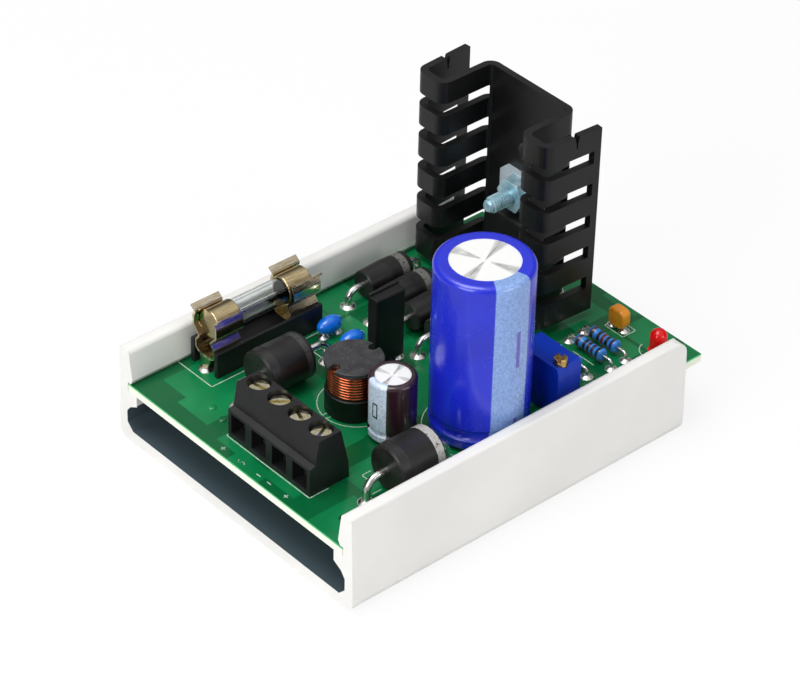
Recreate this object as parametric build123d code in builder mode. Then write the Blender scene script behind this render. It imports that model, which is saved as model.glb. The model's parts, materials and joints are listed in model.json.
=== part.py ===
from build123d import *
import os
from math import asin, cos, radians, sin

os.makedirs("parts", exist_ok=True)

# Adjustable power supply: a circuit board held in a plastic snap track.
# Millimetres. The origin is the middle of the board's length and width, at the
# underside of the track, with +X along the board, away from the wire terminals.

# Circuit board
board_length = 78.1
board_width = 54.0
board_thickness = 1.6
hole_clearance = 0.15
mounting_hole_radius = 0.9
mounting_hole_place = (4.9, 5.3)

# Track, one extrusion along X, open at both ends
track_length = 72.2
track_height = 18.6
track_floor = 2.2
track_cavity_height = 5.9
track_side_low = 2.5
track_side_top = 2.0
track_wall_top = 2.3
track_lip_depth = 2.1
track_lip_height = 2.1
track_grip = 1.1
track_hook_height = 0.9
track_hook_slope = 0.5
track_bulge_wall = 1.9
track_bulge_slope = (0.9, 1.0)
track_bulge_drop = 2.2
track_bulge_corner = 1.4
track_corner_radius = 2.0
track_end_radius = 2.5
track_top_inner_radius = 1.0
track_top_outer_radius = 0.5
board_slot_clearance = 0.15

# Wire terminal block with rising cage clamps
terminal_poles = 4
terminal_pitch = 5.08
terminal_front = 4.07
terminal_start = 12.73
terminal_depth = 8.1
terminal_height = 10.0
terminal_ledge_height = 5.3
terminal_ledge_depth = 1.1
terminal_ledge_slope = 0.3
terminal_top_start = 1.85
terminal_top_depth = 4.5
terminal_back_rise = 3.0
terminal_back_lean = 0.15
terminal_rib = 1.58
entry_bottom = 0.8
entry_height = 3.9
terminal_screw_setback = 4.4
screw_head_radius = 1.85
screw_head_height = 1.2
screw_shaft_radius = 1.25
screw_slot_width = 0.6
screw_slot_depth = 0.6
screw_shoulder_height = 0.9
screw_well_depth = 2.1
screw_running_clearance = 0.1
screw_tip_gap = 0.15
screw_seat_gap = 0.05
screw_head_edge = 0.2
screw_tip_edge = 0.3
screw_slot_turns = (25, 70, 140, 100)
clamp_length = 4.0
clamp_width = 4.0
clamp_bottom_plate = 0.8
clamp_top_plate = 0.9
clamp_side = 0.6
clamp_window_height = 2.6
clamp_rest_height = 0.6
clamp_clearance = 0.15
clamp_end_clearance = 0.2
clamp_corner = 0.35
contact_thickness = 0.5
contact_width = 2.2
contact_leg_setback = 6.55
contact_leg_width = 1.0
contact_gap = 0.05
contact_setback = 0.3

# Leads below the board
lead_stub = 1.3
solder_top_height = 0.45
solder_foot = 0.55

# Fuse holder and 5 by 20 mm fuse, along X
fuse_start = 11.9
fuse_middle = 49.1
fuse_base_length = 22.4
fuse_base_width = 7.0
fuse_base_height = 4.9
fuse_base_floor = 2.2
fuse_base_rail = 0.9
fuse_base_thin_rail = 0.6
fuse_base_rail_gap = 0.6
fuse_base_edge = 0.2
fuse_leg_notch = 3.2
fuse_length = 20.0
fuse_axis_height = 8.6
fuse_cap_radius = 2.6
fuse_cap_length = 5.0
fuse_cap_wall = 0.25
fuse_cap_edge = 0.2
fuse_glass_radius = 2.3
fuse_glass_wall = 0.45
fuse_wire_radius = 0.12
clip_sheet = 0.4
clip_length = 5.7
clip_inset = 0.15
clip_loop_bottom = 2.6
clip_loop_half_width = 2.35
clip_waist_half_width = 1.45
clip_waist_height = 6.0
clip_loop_shoulder = 1.2
clip_cradle_gap = 0.12
clip_cradle_low = 0.9
clip_cradle_high = 0.8
clip_neck_height = 1.75
clip_neck_inset = 0.55
clip_bends = (1.1, 0.9, 0.35, 0.7, 0.7, 0.4)
clip_flare_half_width = 3.5
clip_top_height = 11.2
clip_leg_width = 2.6
clip_pin_width = 1.2
clip_leg_shoulder = 0.8

# Surge diodes, thick moulded bodies along X
surge_radius = 4.25
surge_length = 9.1
surge_start = 14.2
surge_middles = (6.1, 37.9)
surge_lead_radius = 0.65
surge_lead_bend = 2.4
surge_pads = ((10.0, 26.8), (10.0, 28.8))
surge_flash_setback = 1.9
surge_flash_rise = 0.02
surge_flash_drop = 0.03
surge_flash_foot = 0.12
surge_flash_top = 0.08
surge_edge = 0.3
mould_draft = 0.15
surge_gap = 0.05

# Rectifier diodes, a row of four bodies along X
rectifier_radius = 2.65
rectifier_length = 9.4
rectifier_start = 44.8
rectifier_first_middle = 29.65
rectifier_pitch = 5.95
rectifier_count = 4
rectifier_axis_height = 2.95
rectifier_edge = 0.2
rectifier_lead_radius = 0.6
rectifier_lead_bend = 1.7
rectifier_pads = (41.5, 57.2)

# Upright three pin device
upright_start = 33.3
upright_near = 30.8
upright_width = 6.2
upright_depth = 1.7
upright_plate = 0.6
upright_height = 14.5
upright_rim = 0.6
upright_body_drop = 0.5
upright_edge = 0.25
upright_pin_pitch = 2.2

# Drum inductor
inductor_place = (24.4, 26.0)
inductor_radius = 4.95
inductor_base_radius = 4.8
inductor_height = 10.0
inductor_flange = 0.8
inductor_base_height = 4.3
inductor_neck_radius = 2.4
inductor_notch_width = 1.5
inductor_notch_extra = 0.5
inductor_lift = 0.1
inductor_base_edge = 0.2
inductor_rim_edge = 0.15
inductor_notch_turn = 182
winding_radius = 4.5
winding_turns = 9
winding_lead_radius = 0.35
inductor_lead_spacing = 5.0

# Upright can capacitors
main_capacitor_place = (36.9, 9.7)
main_can_radius = 8.1
main_can_height = 31.9
main_groove_height = 3.2
main_groove_depth = 0.6
main_groove_width = 2.2
main_ring = 2.3
main_corner = 0.9
main_lead_spacing = 7.5
main_lead_radius = 0.4
small_capacitor_place = (24.6, 16.8)
small_can_radius = 3.85
small_can_height = 11.3
small_groove_height = 1.9
small_groove_depth = 0.35
small_groove_width = 1.2
small_ring = 0.9
small_corner = 0.5
small_lead_spacing = 3.5
small_lead_radius = 0.3
sleeve_thickness = 0.15
can_lift = 0.4
bung_recess = 0.35
bung_height = 1.6
bung_rim = 0.3
vent_width = 0.35
vent_depth = 0.12
vent_share = 0.86
vent_turns = (20, 110)

# Dipped ceramic capacitors and their wires
blue_half_length = 2.5
blue_half_height = 1.55
blue_end_cut = 0.04
blue_lift = 0.5
blue_places = ((34.0, 43.4), (34.2, 37.85))
orange_place = (72.6, 14.05)
orange_thickness = 2.0
orange_width = 3.6
orange_bottom = 0.5
orange_top = 4.1
orange_corner = 1.1
orange_edge = 0.4
ceramic_lead_radius = 0.25
ceramic_lead_spacing = 2.54

# Multi turn trimmer
trimmer_start = 47.3
trimmer_near = 2.5
trimmer_width = 5.1
trimmer_length = 9.6
trimmer_height = 9.6
trimmer_lift = 0.2
trimmer_edge = 0.9
trimmer_screw_setback = (1.8, 1.5)
trimmer_screw_radius = 1.15
trimmer_screw_rise = 1.1
trimmer_screw_sink = 1.2
trimmer_spindle_radius = 0.7
trimmer_spindle_length = 5.2
trimmer_running_clearance = 0.08
trimmer_slot_width = 0.5
trimmer_slot_depth = 0.6
trimmer_slot_turn = 35
trimmer_screw_edge = 0.15
trimmer_end_clearance = 0.05
trimmer_pin_radius = 0.28
trimmer_pin_spacing = 2.54

# Resistors lying along Y
resistor_radius = 1.15
resistor_waist = 0.92
resistor_length = 6.2
resistor_cap = 1.5
resistor_neck = 0.35
resistor_end_share = 0.6
resistor_axis_height = 1.55
resistor_lead_radius = 0.3
resistor_lead_bend = 0.75
resistor_rows = (55.8, 59.0, 63.6, 67.0)
resistor_middles = (13.0, 12.6, 11.55, 11.7)
resistor_pad_spacing = 10.16

# Indicator lamp
lamp_place = (72.4, 4.6)
lamp_radius = 1.5
lamp_flange_radius = 1.75
lamp_flange_height = 0.7
lamp_height = 5.1
lamp_lift = 0.2
lamp_lead_width = 0.5
lamp_lead_spacing = 2.54

# Heatsink, folded from one sheet
sheet = 1.25
sink_middle = 36.1
sink_front = 59.5
sink_back = 71.6
sink_bottom = 1.6
sink_height = 36.2
sink_inner_half_width = 10.4
sink_outer_half_width = 15.9
sink_splay = 0.7
sink_plate_end = 71.2
sink_bend_radius = 2.0
sink_slots = 5
sink_slot_height = 2.4
sink_slot_pitch = 6.25
sink_first_slot = 4.1
sink_slot_edge = 9.0
sink_slot_middle = 12.8
sink_inner_slot_end = 70.9
sink_outer_slot_end = 69.8
sink_notch_place = 66.0
sink_notch_width = 1.6
sink_notch_depth = 2.2
sink_notch_tip = 0.15
sink_notch_straight = 0.6
sink_notch_gap = 0.5
sink_spare_hole_height = 24.6
sink_spare_hole_radius = 1.8
sink_tab_width = 2.4
sink_tab_middle = 7.4

# Regulator, its screw and nut
regulator_middle = 35.75
regulator_width = 10.0
regulator_tab_thickness = 1.25
regulator_body_thickness = 4.4
regulator_body_bottom = 5.3
regulator_body_height = 8.7
regulator_tab_top = 20.6
regulator_tab_corner = 0.8
regulator_tab_hole_radius = 1.85
regulator_body_edge = 0.35
regulator_lead_root = 1.0
regulator_bridge_rise = 0.4
regulator_lead_setback = 2.6
regulator_lead_width = 0.8
regulator_lead_thickness = 0.5
regulator_lead_pitch = 2.54
regulator_shoulder_width = 1.3
regulator_shoulder_height = 2.2
fixing_height = 17.7
fixing_radius = 1.5
fixing_clearance = 0.15
fixing_length = 10.0
fixing_head_radius = 2.8
fixing_head_height = 2.0
fixing_head_rim = 0.9
fixing_recess_depth = 1.1
fixing_recess_length = 3.2
fixing_recess_width = 0.6
nut_flats = 5.5
nut_height = 2.4
thread_crest = 0.12
fixing_tip_drop = 0.5
fixing_tip_length = 0.4

# Worked out places. Places on the board are measured from its near corner by the terminals.
board_left = -board_length / 2
board_near = -board_width / 2
track_half_width_low = board_width / 2 + track_side_low
track_half_width_top = board_width / 2 + track_side_top
board_bottom = track_floor + track_cavity_height + track_lip_height
deck = board_bottom + board_thickness
lead_tip = board_bottom - lead_stub
solder_bottom_height = lead_stub - 0.4


def place(x, y, height=0.0):
    """Turn a place on the board and a height over its top into the part's frame."""
    return Vector(board_left + x, board_near + y, deck + height)


def finish(piece, name):
    """Label a finished piece and write it to its file."""
    piece.part.label = name
    export_step(piece.part, f"parts/{name}.step")


def nearest_corner(section, spot):
    """Find the corner of a flat outline that lies nearest to a spot."""
    return section.vertices().sort_by_distance((spot[0], spot[1], 0))[0]


def bent_wire(points, bend_radius, wire_radius):
    """Sweep a round wire along straight runs with bent corners, in the open part."""
    with BuildLine() as route:
        FilletPolyline(*points, radius=bend_radius)
    start = Vector(*points[0])
    with BuildSketch(Plane(origin=start, z_dir=Vector(*points[1]) - start)) as section:
        Circle(wire_radius)
    sweep(section.sketch, path=route.line)


def turned_body(plane, points):
    """Revolve an outline of (along the axis, radius) points about the plane's X axis."""
    with BuildSketch(plane) as section:
        with BuildLine():
            Polyline(*points, close=True)
        make_face()
    revolve(section.sketch, axis=Axis(plane.origin, plane.x_dir))


# Each soldered group of leads: its pin shape, its places and whether solder shows on top.
# A pin shape is ("round", radius) or ("flat", x size, y size).
soldered = []


def solder(pin_shape, spots, shows_on_top=True):
    """Note a group of leads that needs board holes and solder joints."""
    soldered.append((pin_shape, spots, shows_on_top))


# Track
slot_floor = board_bottom
slot_roof = deck + board_slot_clearance
slot_half_width = board_width / 2 + board_slot_clearance
lip_top = slot_floor
lip_bottom = track_floor + track_cavity_height
foot_half_width = board_width / 2 - track_grip
bulge_half_width = track_half_width_low - track_bulge_wall
inner_top_half_width = track_half_width_top - track_wall_top
with BuildPart() as track:
    with BuildSketch(Plane.YZ.offset(board_left)) as track_section:
        with BuildLine():
            Polyline(
                (0, 0),
                (track_half_width_low, 0),
                (track_half_width_low, 2 * track_corner_radius),
                (track_half_width_top, track_height),
                (inner_top_half_width, track_height),
                (foot_half_width, slot_roof + track_hook_height),
                (foot_half_width + track_hook_slope, slot_roof),
                (slot_half_width, slot_roof),
                (slot_half_width, lip_top),
                (board_width / 2 - track_lip_depth, lip_top),
                (board_width / 2 - track_lip_depth, lip_bottom),
                (bulge_half_width - track_bulge_slope[0], lip_bottom - track_bulge_slope[1]),
                (bulge_half_width, lip_bottom - track_bulge_drop),
                (bulge_half_width, track_floor + track_bulge_corner),
                (bulge_half_width - track_bulge_corner, track_floor),
                (0, track_floor),
                close=True,
            )
        make_face()
        for corner_place, corner_radius in (
            ((track_half_width_low, 0), track_corner_radius),
            ((inner_top_half_width, track_height), track_top_inner_radius),
            ((track_half_width_top, track_height), track_top_outer_radius),
        ):
            fillet(nearest_corner(track_section, corner_place), radius=corner_radius)
        mirror(about=Plane.YZ)
    extrude(amount=track_length)
    round_middle = (board_left + track_length - track_end_radius, track_height - track_end_radius)
    with BuildSketch(Plane.XZ) as end_corner:
        with Locations(round_middle):
            Rectangle(2 * track_end_radius, 2 * track_end_radius, align=(Align.MIN, Align.MIN))
            Circle(track_end_radius, mode=Mode.SUBTRACT)
    extrude(amount=track_half_width_low, both=True, mode=Mode.SUBTRACT)
finish(track, "track")

# Terminal block housing: the outline from the side, then wells, pockets and wire entries
terminal_x = board_left + terminal_front
terminal_poles_y = [
    board_near + terminal_start + terminal_pitch * (pole + 0.5) for pole in range(terminal_poles)
]
screw_x = terminal_x + terminal_screw_setback
well_floor = deck + terminal_height - screw_well_depth
shoulder_bottom = well_floor - screw_shoulder_height
pocket_width = clamp_width + 2 * clamp_clearance
pocket_length = clamp_length + 2 * clamp_end_clearance
contact_leg_x = terminal_x + contact_leg_setback
clamp_bottom = deck + clamp_rest_height
clamp_height = clamp_bottom_plate + clamp_window_height + clamp_top_plate
contact_top = clamp_bottom + clamp_bottom_plate + clamp_window_height - contact_gap
with BuildPart() as terminal_housing:
    with BuildSketch(Plane.XZ.offset(-(board_near + terminal_start))):
        with BuildLine():
            Polyline(
                (terminal_x, deck),
                (terminal_x, deck + terminal_ledge_height),
                (terminal_x + terminal_ledge_depth, deck + terminal_ledge_height + terminal_ledge_slope),
                (terminal_x + terminal_top_start, deck + terminal_height),
                (terminal_x + terminal_top_start + terminal_top_depth, deck + terminal_height),
                (terminal_x + terminal_depth - terminal_back_lean, deck + terminal_back_rise),
                (terminal_x + terminal_depth, deck),
                close=True,
            )
        make_face()
    extrude(amount=-terminal_poles * terminal_pitch)
    for pole_y in terminal_poles_y:
        with Locations((screw_x, pole_y, well_floor)):
            Cylinder(
                screw_head_radius + clamp_clearance,
                screw_well_depth,
                align=(Align.CENTER, Align.CENTER, Align.MIN),
                mode=Mode.SUBTRACT,
            )
        with Locations((screw_x, pole_y, shoulder_bottom)):
            Cylinder(
                screw_shaft_radius + clamp_clearance,
                screw_shoulder_height,
                align=(Align.CENTER, Align.CENTER, Align.MIN),
                mode=Mode.SUBTRACT,
            )
        with Locations((screw_x, pole_y, deck)):
            Box(
                pocket_length,
                pocket_width,
                shoulder_bottom - deck,
                align=(Align.CENTER, Align.CENTER, Align.MIN),
                mode=Mode.SUBTRACT,
            )
        with Locations((screw_x, pole_y, deck)):
            Box(
                contact_leg_x - screw_x + contact_thickness + clamp_clearance,
                contact_width + 2 * clamp_clearance,
                contact_top + clamp_clearance - deck,
                align=(Align.MIN, Align.CENTER, Align.MIN),
                mode=Mode.SUBTRACT,
            )
        with Locations((terminal_x, pole_y, deck + entry_bottom)):
            Box(
                screw_x - terminal_x,
                terminal_pitch - terminal_rib,
                entry_height,
                align=(Align.MIN, Align.CENTER, Align.MIN),
                mode=Mode.SUBTRACT,
            )
finish(terminal_housing, "terminal_housing")

# Terminal screws, clamps and contacts
screw_bottom = contact_top + screw_tip_gap
head_bottom = well_floor + screw_seat_gap
for number, pole_y in enumerate(terminal_poles_y, start=1):
    with BuildPart() as terminal_screw:
        with Locations((screw_x, pole_y, screw_bottom)):
            Cylinder(
                screw_shaft_radius,
                head_bottom - screw_bottom,
                align=(Align.CENTER, Align.CENTER, Align.MIN),
            )
        with Locations((screw_x, pole_y, head_bottom)):
            Cylinder(
                screw_head_radius,
                screw_head_height,
                align=(Align.CENTER, Align.CENTER, Align.MIN),
            )
        chamfer(terminal_screw.faces().sort_by(Axis.Z)[-1].edges(), length=screw_head_edge)
        chamfer(terminal_screw.faces().sort_by(Axis.Z)[0].edges(), length=screw_tip_edge)
        slot_plane = Plane((screw_x, pole_y, head_bottom + screw_head_height))
        with BuildSketch(slot_plane.rotated((0, 0, screw_slot_turns[(number - 1) % 4]))):
            Rectangle(2 * screw_head_radius + 1, screw_slot_width)
        extrude(amount=-screw_slot_depth, mode=Mode.SUBTRACT)
    finish(terminal_screw, f"terminal_screw_{number}")

    with BuildPart() as terminal_clamp:
        with Locations((screw_x, pole_y, clamp_bottom)):
            Box(
                clamp_length,
                clamp_width,
                clamp_height,
                align=(Align.CENTER, Align.CENTER, Align.MIN),
            )
        upright_edges = terminal_clamp.edges().filter_by(Axis.X)
        fillet(upright_edges, radius=clamp_corner)
        with Locations((screw_x, pole_y, clamp_bottom + clamp_bottom_plate)):
            Box(
                clamp_length,
                clamp_width - 2 * clamp_side,
                clamp_window_height,
                align=(Align.CENTER, Align.CENTER, Align.MIN),
                mode=Mode.SUBTRACT,
            )
        with Locations((screw_x, pole_y, clamp_bottom + clamp_height)):
            Cylinder(
                screw_shaft_radius + screw_running_clearance,
                clamp_top_plate,
                align=(Align.CENTER, Align.CENTER, Align.MAX),
                mode=Mode.SUBTRACT,
            )
    finish(terminal_clamp, f"terminal_clamp_{number}")

contact_start = screw_x - clamp_length / 2 + contact_setback
with BuildPart() as terminal_contacts:
    for pole_y in terminal_poles_y:
        with Locations((contact_start, pole_y, contact_top)):
            Box(
                contact_leg_x + contact_thickness - contact_start,
                contact_width,
                contact_thickness,
                align=(Align.MIN, Align.CENTER, Align.MAX),
            )
        with Locations((contact_leg_x, pole_y, lead_tip)):
            Box(
                contact_thickness,
                contact_leg_width,
                contact_top - lead_tip,
                align=(Align.MIN, Align.CENTER, Align.MIN),
            )
finish(terminal_contacts, "terminal_contacts")
contact_pins = [(contact_leg_x + contact_thickness / 2, pole_y) for pole_y in terminal_poles_y]
solder(("flat", contact_thickness, contact_leg_width), contact_pins, shows_on_top=False)

# Fuse holder base: a trough with thin rails, notched at each end for the clip's leg
fuse_x = board_left + fuse_start
fuse_y = board_near + fuse_middle
fuse_axis = deck + fuse_axis_height
with BuildPart() as fuse_base:
    with Locations((fuse_x, fuse_y, deck)):
        Box(
            fuse_base_length,
            fuse_base_width,
            fuse_base_height,
            align=(Align.MIN, Align.CENTER, Align.MIN),
        )
    with Locations((fuse_x, fuse_y, deck + fuse_base_floor)):
        Box(
            fuse_base_length,
            fuse_base_width - 2 * fuse_base_rail,
            fuse_base_height,
            align=(Align.MIN, Align.CENTER, Align.MIN),
            mode=Mode.SUBTRACT,
        )
    with Locations((fuse_x + fuse_base_length / 2, fuse_y, deck + fuse_base_floor)):
        Box(
            fuse_base_length - 2 * (clip_inset + clip_length + fuse_base_rail_gap),
            fuse_base_width - 2 * fuse_base_thin_rail,
            fuse_base_height,
            align=(Align.CENTER, Align.CENTER, Align.MIN),
            mode=Mode.SUBTRACT,
        )
    for end_x in (fuse_x, fuse_x + fuse_base_length - fuse_leg_notch):
        with Locations((end_x, fuse_y, deck)):
            Box(
                fuse_leg_notch,
                fuse_base_width - 2 * fuse_base_rail,
                fuse_base_height,
                align=(Align.MIN, Align.CENTER, Align.MIN),
                mode=Mode.SUBTRACT,
            )
    chamfer(fuse_base.edges().filter_by(Axis.X).group_by(Axis.Z)[-1], length=fuse_base_edge)
finish(fuse_base, "fuse_base")

# Fuse clips: one sheet bent to a loop, a waist, a cradle for the cap and two flared ends
clip_half = clip_sheet / 2
cradle_half_width = fuse_cap_radius + clip_half + clip_cradle_gap
clip_middles = (
    fuse_x + clip_inset + clip_length / 2,
    fuse_x + fuse_base_length - clip_inset - clip_length / 2,
)
clip_pins = []
for number, clip_x in enumerate(clip_middles, start=1):
    outward = -1 if number == 1 else 1
    leg_outer_x = clip_x + outward * clip_length / 2
    leg_middle_x = leg_outer_x - outward * clip_half
    with BuildPart() as fuse_clip:
        clip_plane = Plane(
            origin=(clip_x - clip_length / 2, fuse_y, deck), x_dir=(0, 1, 0), z_dir=(1, 0, 0)
        )
        with BuildLine() as clip_line:
            half_loop = FilletPolyline(
                (0, clip_loop_bottom + clip_half),
                (clip_loop_half_width, clip_loop_bottom + clip_half),
                (clip_loop_half_width, clip_waist_height - clip_loop_shoulder),
                (clip_waist_half_width, clip_waist_height),
                (cradle_half_width, fuse_axis_height - clip_cradle_low),
                (cradle_half_width, fuse_axis_height + clip_cradle_high),
                (cradle_half_width - clip_neck_inset, fuse_axis_height + clip_neck_height),
                (clip_flare_half_width, clip_top_height),
                radius=clip_bends,
            )
            mirror(half_loop, about=Plane.YZ)
        with BuildSketch(clip_plane) as clip_section:
            trace(clip_line.line, line_width=clip_sheet)
        extrude(amount=clip_length)
        leg_top = clip_loop_bottom + clip_sheet
        with BuildSketch(Plane.YZ.offset(leg_middle_x)) as leg_section:
            with BuildLine():
                Polyline(
                    (fuse_y - clip_leg_width / 2, deck + leg_top),
                    (fuse_y - clip_leg_width / 2, deck + leg_top - clip_leg_shoulder),
                    (fuse_y - clip_pin_width / 2, deck + solder_top_height),
                    (fuse_y - clip_pin_width / 2, lead_tip),
                    (fuse_y + clip_pin_width / 2, lead_tip),
                    (fuse_y + clip_pin_width / 2, deck + solder_top_height),
                    (fuse_y + clip_leg_width / 2, deck + leg_top - clip_leg_shoulder),
                    (fuse_y + clip_leg_width / 2, deck + leg_top),
                    close=True,
                )
            make_face()
        extrude(amount=clip_half, both=True)
    finish(fuse_clip, f"fuse_clip_{number}")
    clip_pins.append((leg_middle_x, fuse_y))
solder(("flat", clip_sheet, clip_pin_width), clip_pins)

# Fuse: glass tube, two pressed caps and the wire inside
tube_x = fuse_x + fuse_base_length / 2 - fuse_length / 2
with BuildPart() as fuse_tube:
    with BuildSketch(Plane.YZ.offset(tube_x + fuse_cap_wall)):
        with Locations((fuse_y, fuse_axis)):
            Circle(fuse_glass_radius)
            Circle(fuse_glass_radius - fuse_glass_wall, mode=Mode.SUBTRACT)
    extrude(amount=fuse_length - 2 * fuse_cap_wall)
finish(fuse_tube, "fuse_tube")

with BuildPart() as fuse_caps:
    for cap_x in (tube_x, tube_x + fuse_length - fuse_cap_length):
        with BuildSketch(Plane.YZ.offset(cap_x)):
            with Locations((fuse_y, fuse_axis)):
                Circle(fuse_cap_radius)
        extrude(amount=fuse_cap_length)
    fillet(fuse_caps.edges().filter_by(GeomType.CIRCLE), radius=fuse_cap_edge)
    with BuildSketch(Plane.YZ.offset(tube_x + fuse_cap_wall)):
        with Locations((fuse_y, fuse_axis)):
            Circle(fuse_glass_radius)
    extrude(amount=fuse_length - 2 * fuse_cap_wall, mode=Mode.SUBTRACT)
finish(fuse_caps, "fuse_caps")

with BuildPart() as fuse_wire:
    with BuildSketch(Plane.YZ.offset(tube_x + fuse_cap_wall)):
        with Locations((fuse_y, fuse_axis)):
            Circle(fuse_wire_radius)
    extrude(amount=fuse_length - 2 * fuse_cap_wall)
finish(fuse_wire, "fuse_wire")

# Surge diodes: moulded bodies with a flash line, and bent wires
surge_names = ("surge_diode_front", "surge_diode_rear")
surge_axis_height = surge_radius + surge_gap
for surge_name, middle in zip(surge_names, surge_middles):
    with BuildPart() as surge_diode:
        body_start = place(surge_start, middle, surge_axis_height)
        flash = surge_flash_setback
        small_radius = surge_radius - mould_draft
        turned_body(
            Plane(body_start),
            (
                (0, 0),
                (0, small_radius - surge_edge),
                (surge_edge, small_radius),
                (flash - surge_flash_foot, surge_radius - surge_flash_drop),
                (flash - surge_flash_top, surge_radius + surge_flash_rise),
                (flash + surge_flash_top, surge_radius + surge_flash_rise),
                (flash + surge_flash_foot, surge_radius - surge_flash_drop),
                (surge_length - surge_edge, small_radius),
                (surge_length, small_radius - surge_edge),
                (surge_length, 0),
            ),
        )
    finish(surge_diode, surge_name)

with BuildPart() as surge_diode_leads:
    for middle, (left_pad, right_pad) in zip(surge_middles, surge_pads):
        for face_x, pad_x in (
            (surge_start, left_pad),
            (surge_start + surge_length, right_pad),
        ):
            far_x = place(pad_x, middle).X
            start = place(face_x, middle, surge_axis_height)
            bent_wire(
                (tuple(start), (far_x, start.Y, start.Z), (far_x, start.Y, lead_tip)),
                surge_lead_bend,
                surge_lead_radius,
            )
            solder(("round", surge_lead_radius), [(far_x, start.Y)])
finish(surge_diode_leads, "surge_diode_leads")

# Rectifier diodes in a row, with their wires
rectifier_middles = [
    rectifier_first_middle + rectifier_pitch * number for number in range(rectifier_count)
]
for number, middle in enumerate(rectifier_middles, start=1):
    with BuildPart() as rectifier_diode:
        end_radius = rectifier_radius - mould_draft
        turned_body(
            Plane(place(rectifier_start, middle, rectifier_axis_height)),
            (
                (0, 0),
                (0, end_radius - rectifier_edge),
                (rectifier_edge, end_radius),
                (rectifier_length / 2, rectifier_radius),
                (rectifier_length - rectifier_edge, end_radius),
                (rectifier_length, end_radius - rectifier_edge),
                (rectifier_length, 0),
            ),
        )
    finish(rectifier_diode, f"rectifier_diode_{number}")

with BuildPart() as rectifier_leads:
    for middle in rectifier_middles:
        for face_x, pad_x in (
            (rectifier_start, rectifier_pads[0]),
            (rectifier_start + rectifier_length, rectifier_pads[1]),
        ):
            far_x = place(pad_x, middle).X
            start = place(face_x, middle, rectifier_axis_height)
            bent_wire(
                (tuple(start), (far_x, start.Y, start.Z), (far_x, start.Y, lead_tip)),
                rectifier_lead_bend,
                rectifier_lead_radius,
            )
            solder(("round", rectifier_lead_radius), [(far_x, start.Y)])
finish(rectifier_leads, "rectifier_leads")

# Upright device: a thin back plate with a moulded body in front, and three flat pins
upright_corner = place(upright_start, upright_near, upright_rim)
with BuildPart() as upright_device_body:
    with Locations(tuple(upright_corner)):
        Box(
            upright_width,
            upright_depth,
            upright_height - upright_rim - upright_body_drop,
            align=(Align.MIN, Align.MIN, Align.MIN),
        )
    chamfer(upright_device_body.faces().sort_by(Axis.Y)[0].edges(), length=upright_edge)
    with Locations((upright_corner.X, upright_corner.Y + upright_depth, upright_corner.Z)):
        Box(
            upright_width,
            upright_plate,
            upright_height - upright_rim,
            align=(Align.MIN, Align.MIN, Align.MIN),
        )
finish(upright_device_body, "upright_device_body")

upright_pin_y = upright_corner.Y + upright_depth / 2
upright_middle_x = upright_corner.X + upright_width / 2
upright_pins = [(upright_middle_x + upright_pin_pitch * step, upright_pin_y) for step in (-1, 0, 1)]
with BuildPart() as upright_device_leads:
    for pin_x, pin_y in upright_pins:
        with Locations((pin_x, pin_y, lead_tip)):
            Box(
                regulator_lead_width,
                regulator_lead_thickness,
                upright_corner.Z - lead_tip,
                align=(Align.CENTER, Align.CENTER, Align.MIN),
            )
finish(upright_device_leads, "upright_device_leads")
solder(("flat", regulator_lead_width, regulator_lead_thickness), upright_pins)

# Drum inductor: ferrite core with a notched flange, and a close winding under it
inductor_spot = place(*inductor_place)
flange_bottom = inductor_height - inductor_flange
notch_reach = inductor_radius - winding_radius + inductor_notch_extra
with BuildPart() as inductor_core:
    turned_body(
        Plane(origin=inductor_spot, x_dir=(0, 0, 1), z_dir=(0, -1, 0)),
        (
            (inductor_lift, 0),
            (inductor_lift, inductor_base_radius - inductor_base_edge),
            (inductor_lift + inductor_base_edge, inductor_base_radius),
            (inductor_base_height - inductor_base_edge, inductor_base_radius),
            (inductor_base_height, inductor_base_radius - inductor_base_edge),
            (inductor_base_height, inductor_neck_radius),
            (flange_bottom, inductor_neck_radius),
            (flange_bottom, inductor_radius),
            (inductor_height - inductor_rim_edge, inductor_radius),
            (inductor_height, inductor_radius - inductor_rim_edge),
            (inductor_height, 0),
        ),
    )
    for turn in (inductor_notch_turn, inductor_notch_turn + 180):
        notch_plane = Plane(
            origin=(inductor_spot.X, inductor_spot.Y, deck + flange_bottom),
            x_dir=(cos(radians(turn)), sin(radians(turn)), 0),
            z_dir=(0, 0, 1),
        )
        with BuildSketch(notch_plane):
            with Locations((inductor_radius, 0)):
                SlotCenterToCenter(2 * notch_reach, inductor_notch_width)
        extrude(amount=inductor_flange, mode=Mode.SUBTRACT)
    round_spots = [
        (inductor_spot.X, inductor_spot.Y + side * inductor_lead_spacing / 2) for side in (-1, 1)
    ]
finish(inductor_core, "inductor_core")

turn_height = (flange_bottom - inductor_base_height) / winding_turns
with BuildPart() as inductor_winding:
    with BuildSketch(Plane(origin=inductor_spot, x_dir=(1, 0, 0), z_dir=(0, -1, 0))) as ridge:
        with BuildLine():
            Polyline(
                (winding_radius - turn_height / 2, flange_bottom),
                (inductor_neck_radius, flange_bottom),
                (inductor_neck_radius, inductor_base_height),
                (winding_radius - turn_height / 2, inductor_base_height),
            )
            for turn in range(winding_turns):
                low = inductor_base_height + turn * turn_height
                ThreePointArc(
                    (winding_radius - turn_height / 2, low),
                    (winding_radius, low + turn_height / 2),
                    (winding_radius - turn_height / 2, low + turn_height),
                )
        make_face()
    revolve(axis=Axis(inductor_spot, (0, 0, 1)))
finish(inductor_winding, "inductor_winding")

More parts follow.
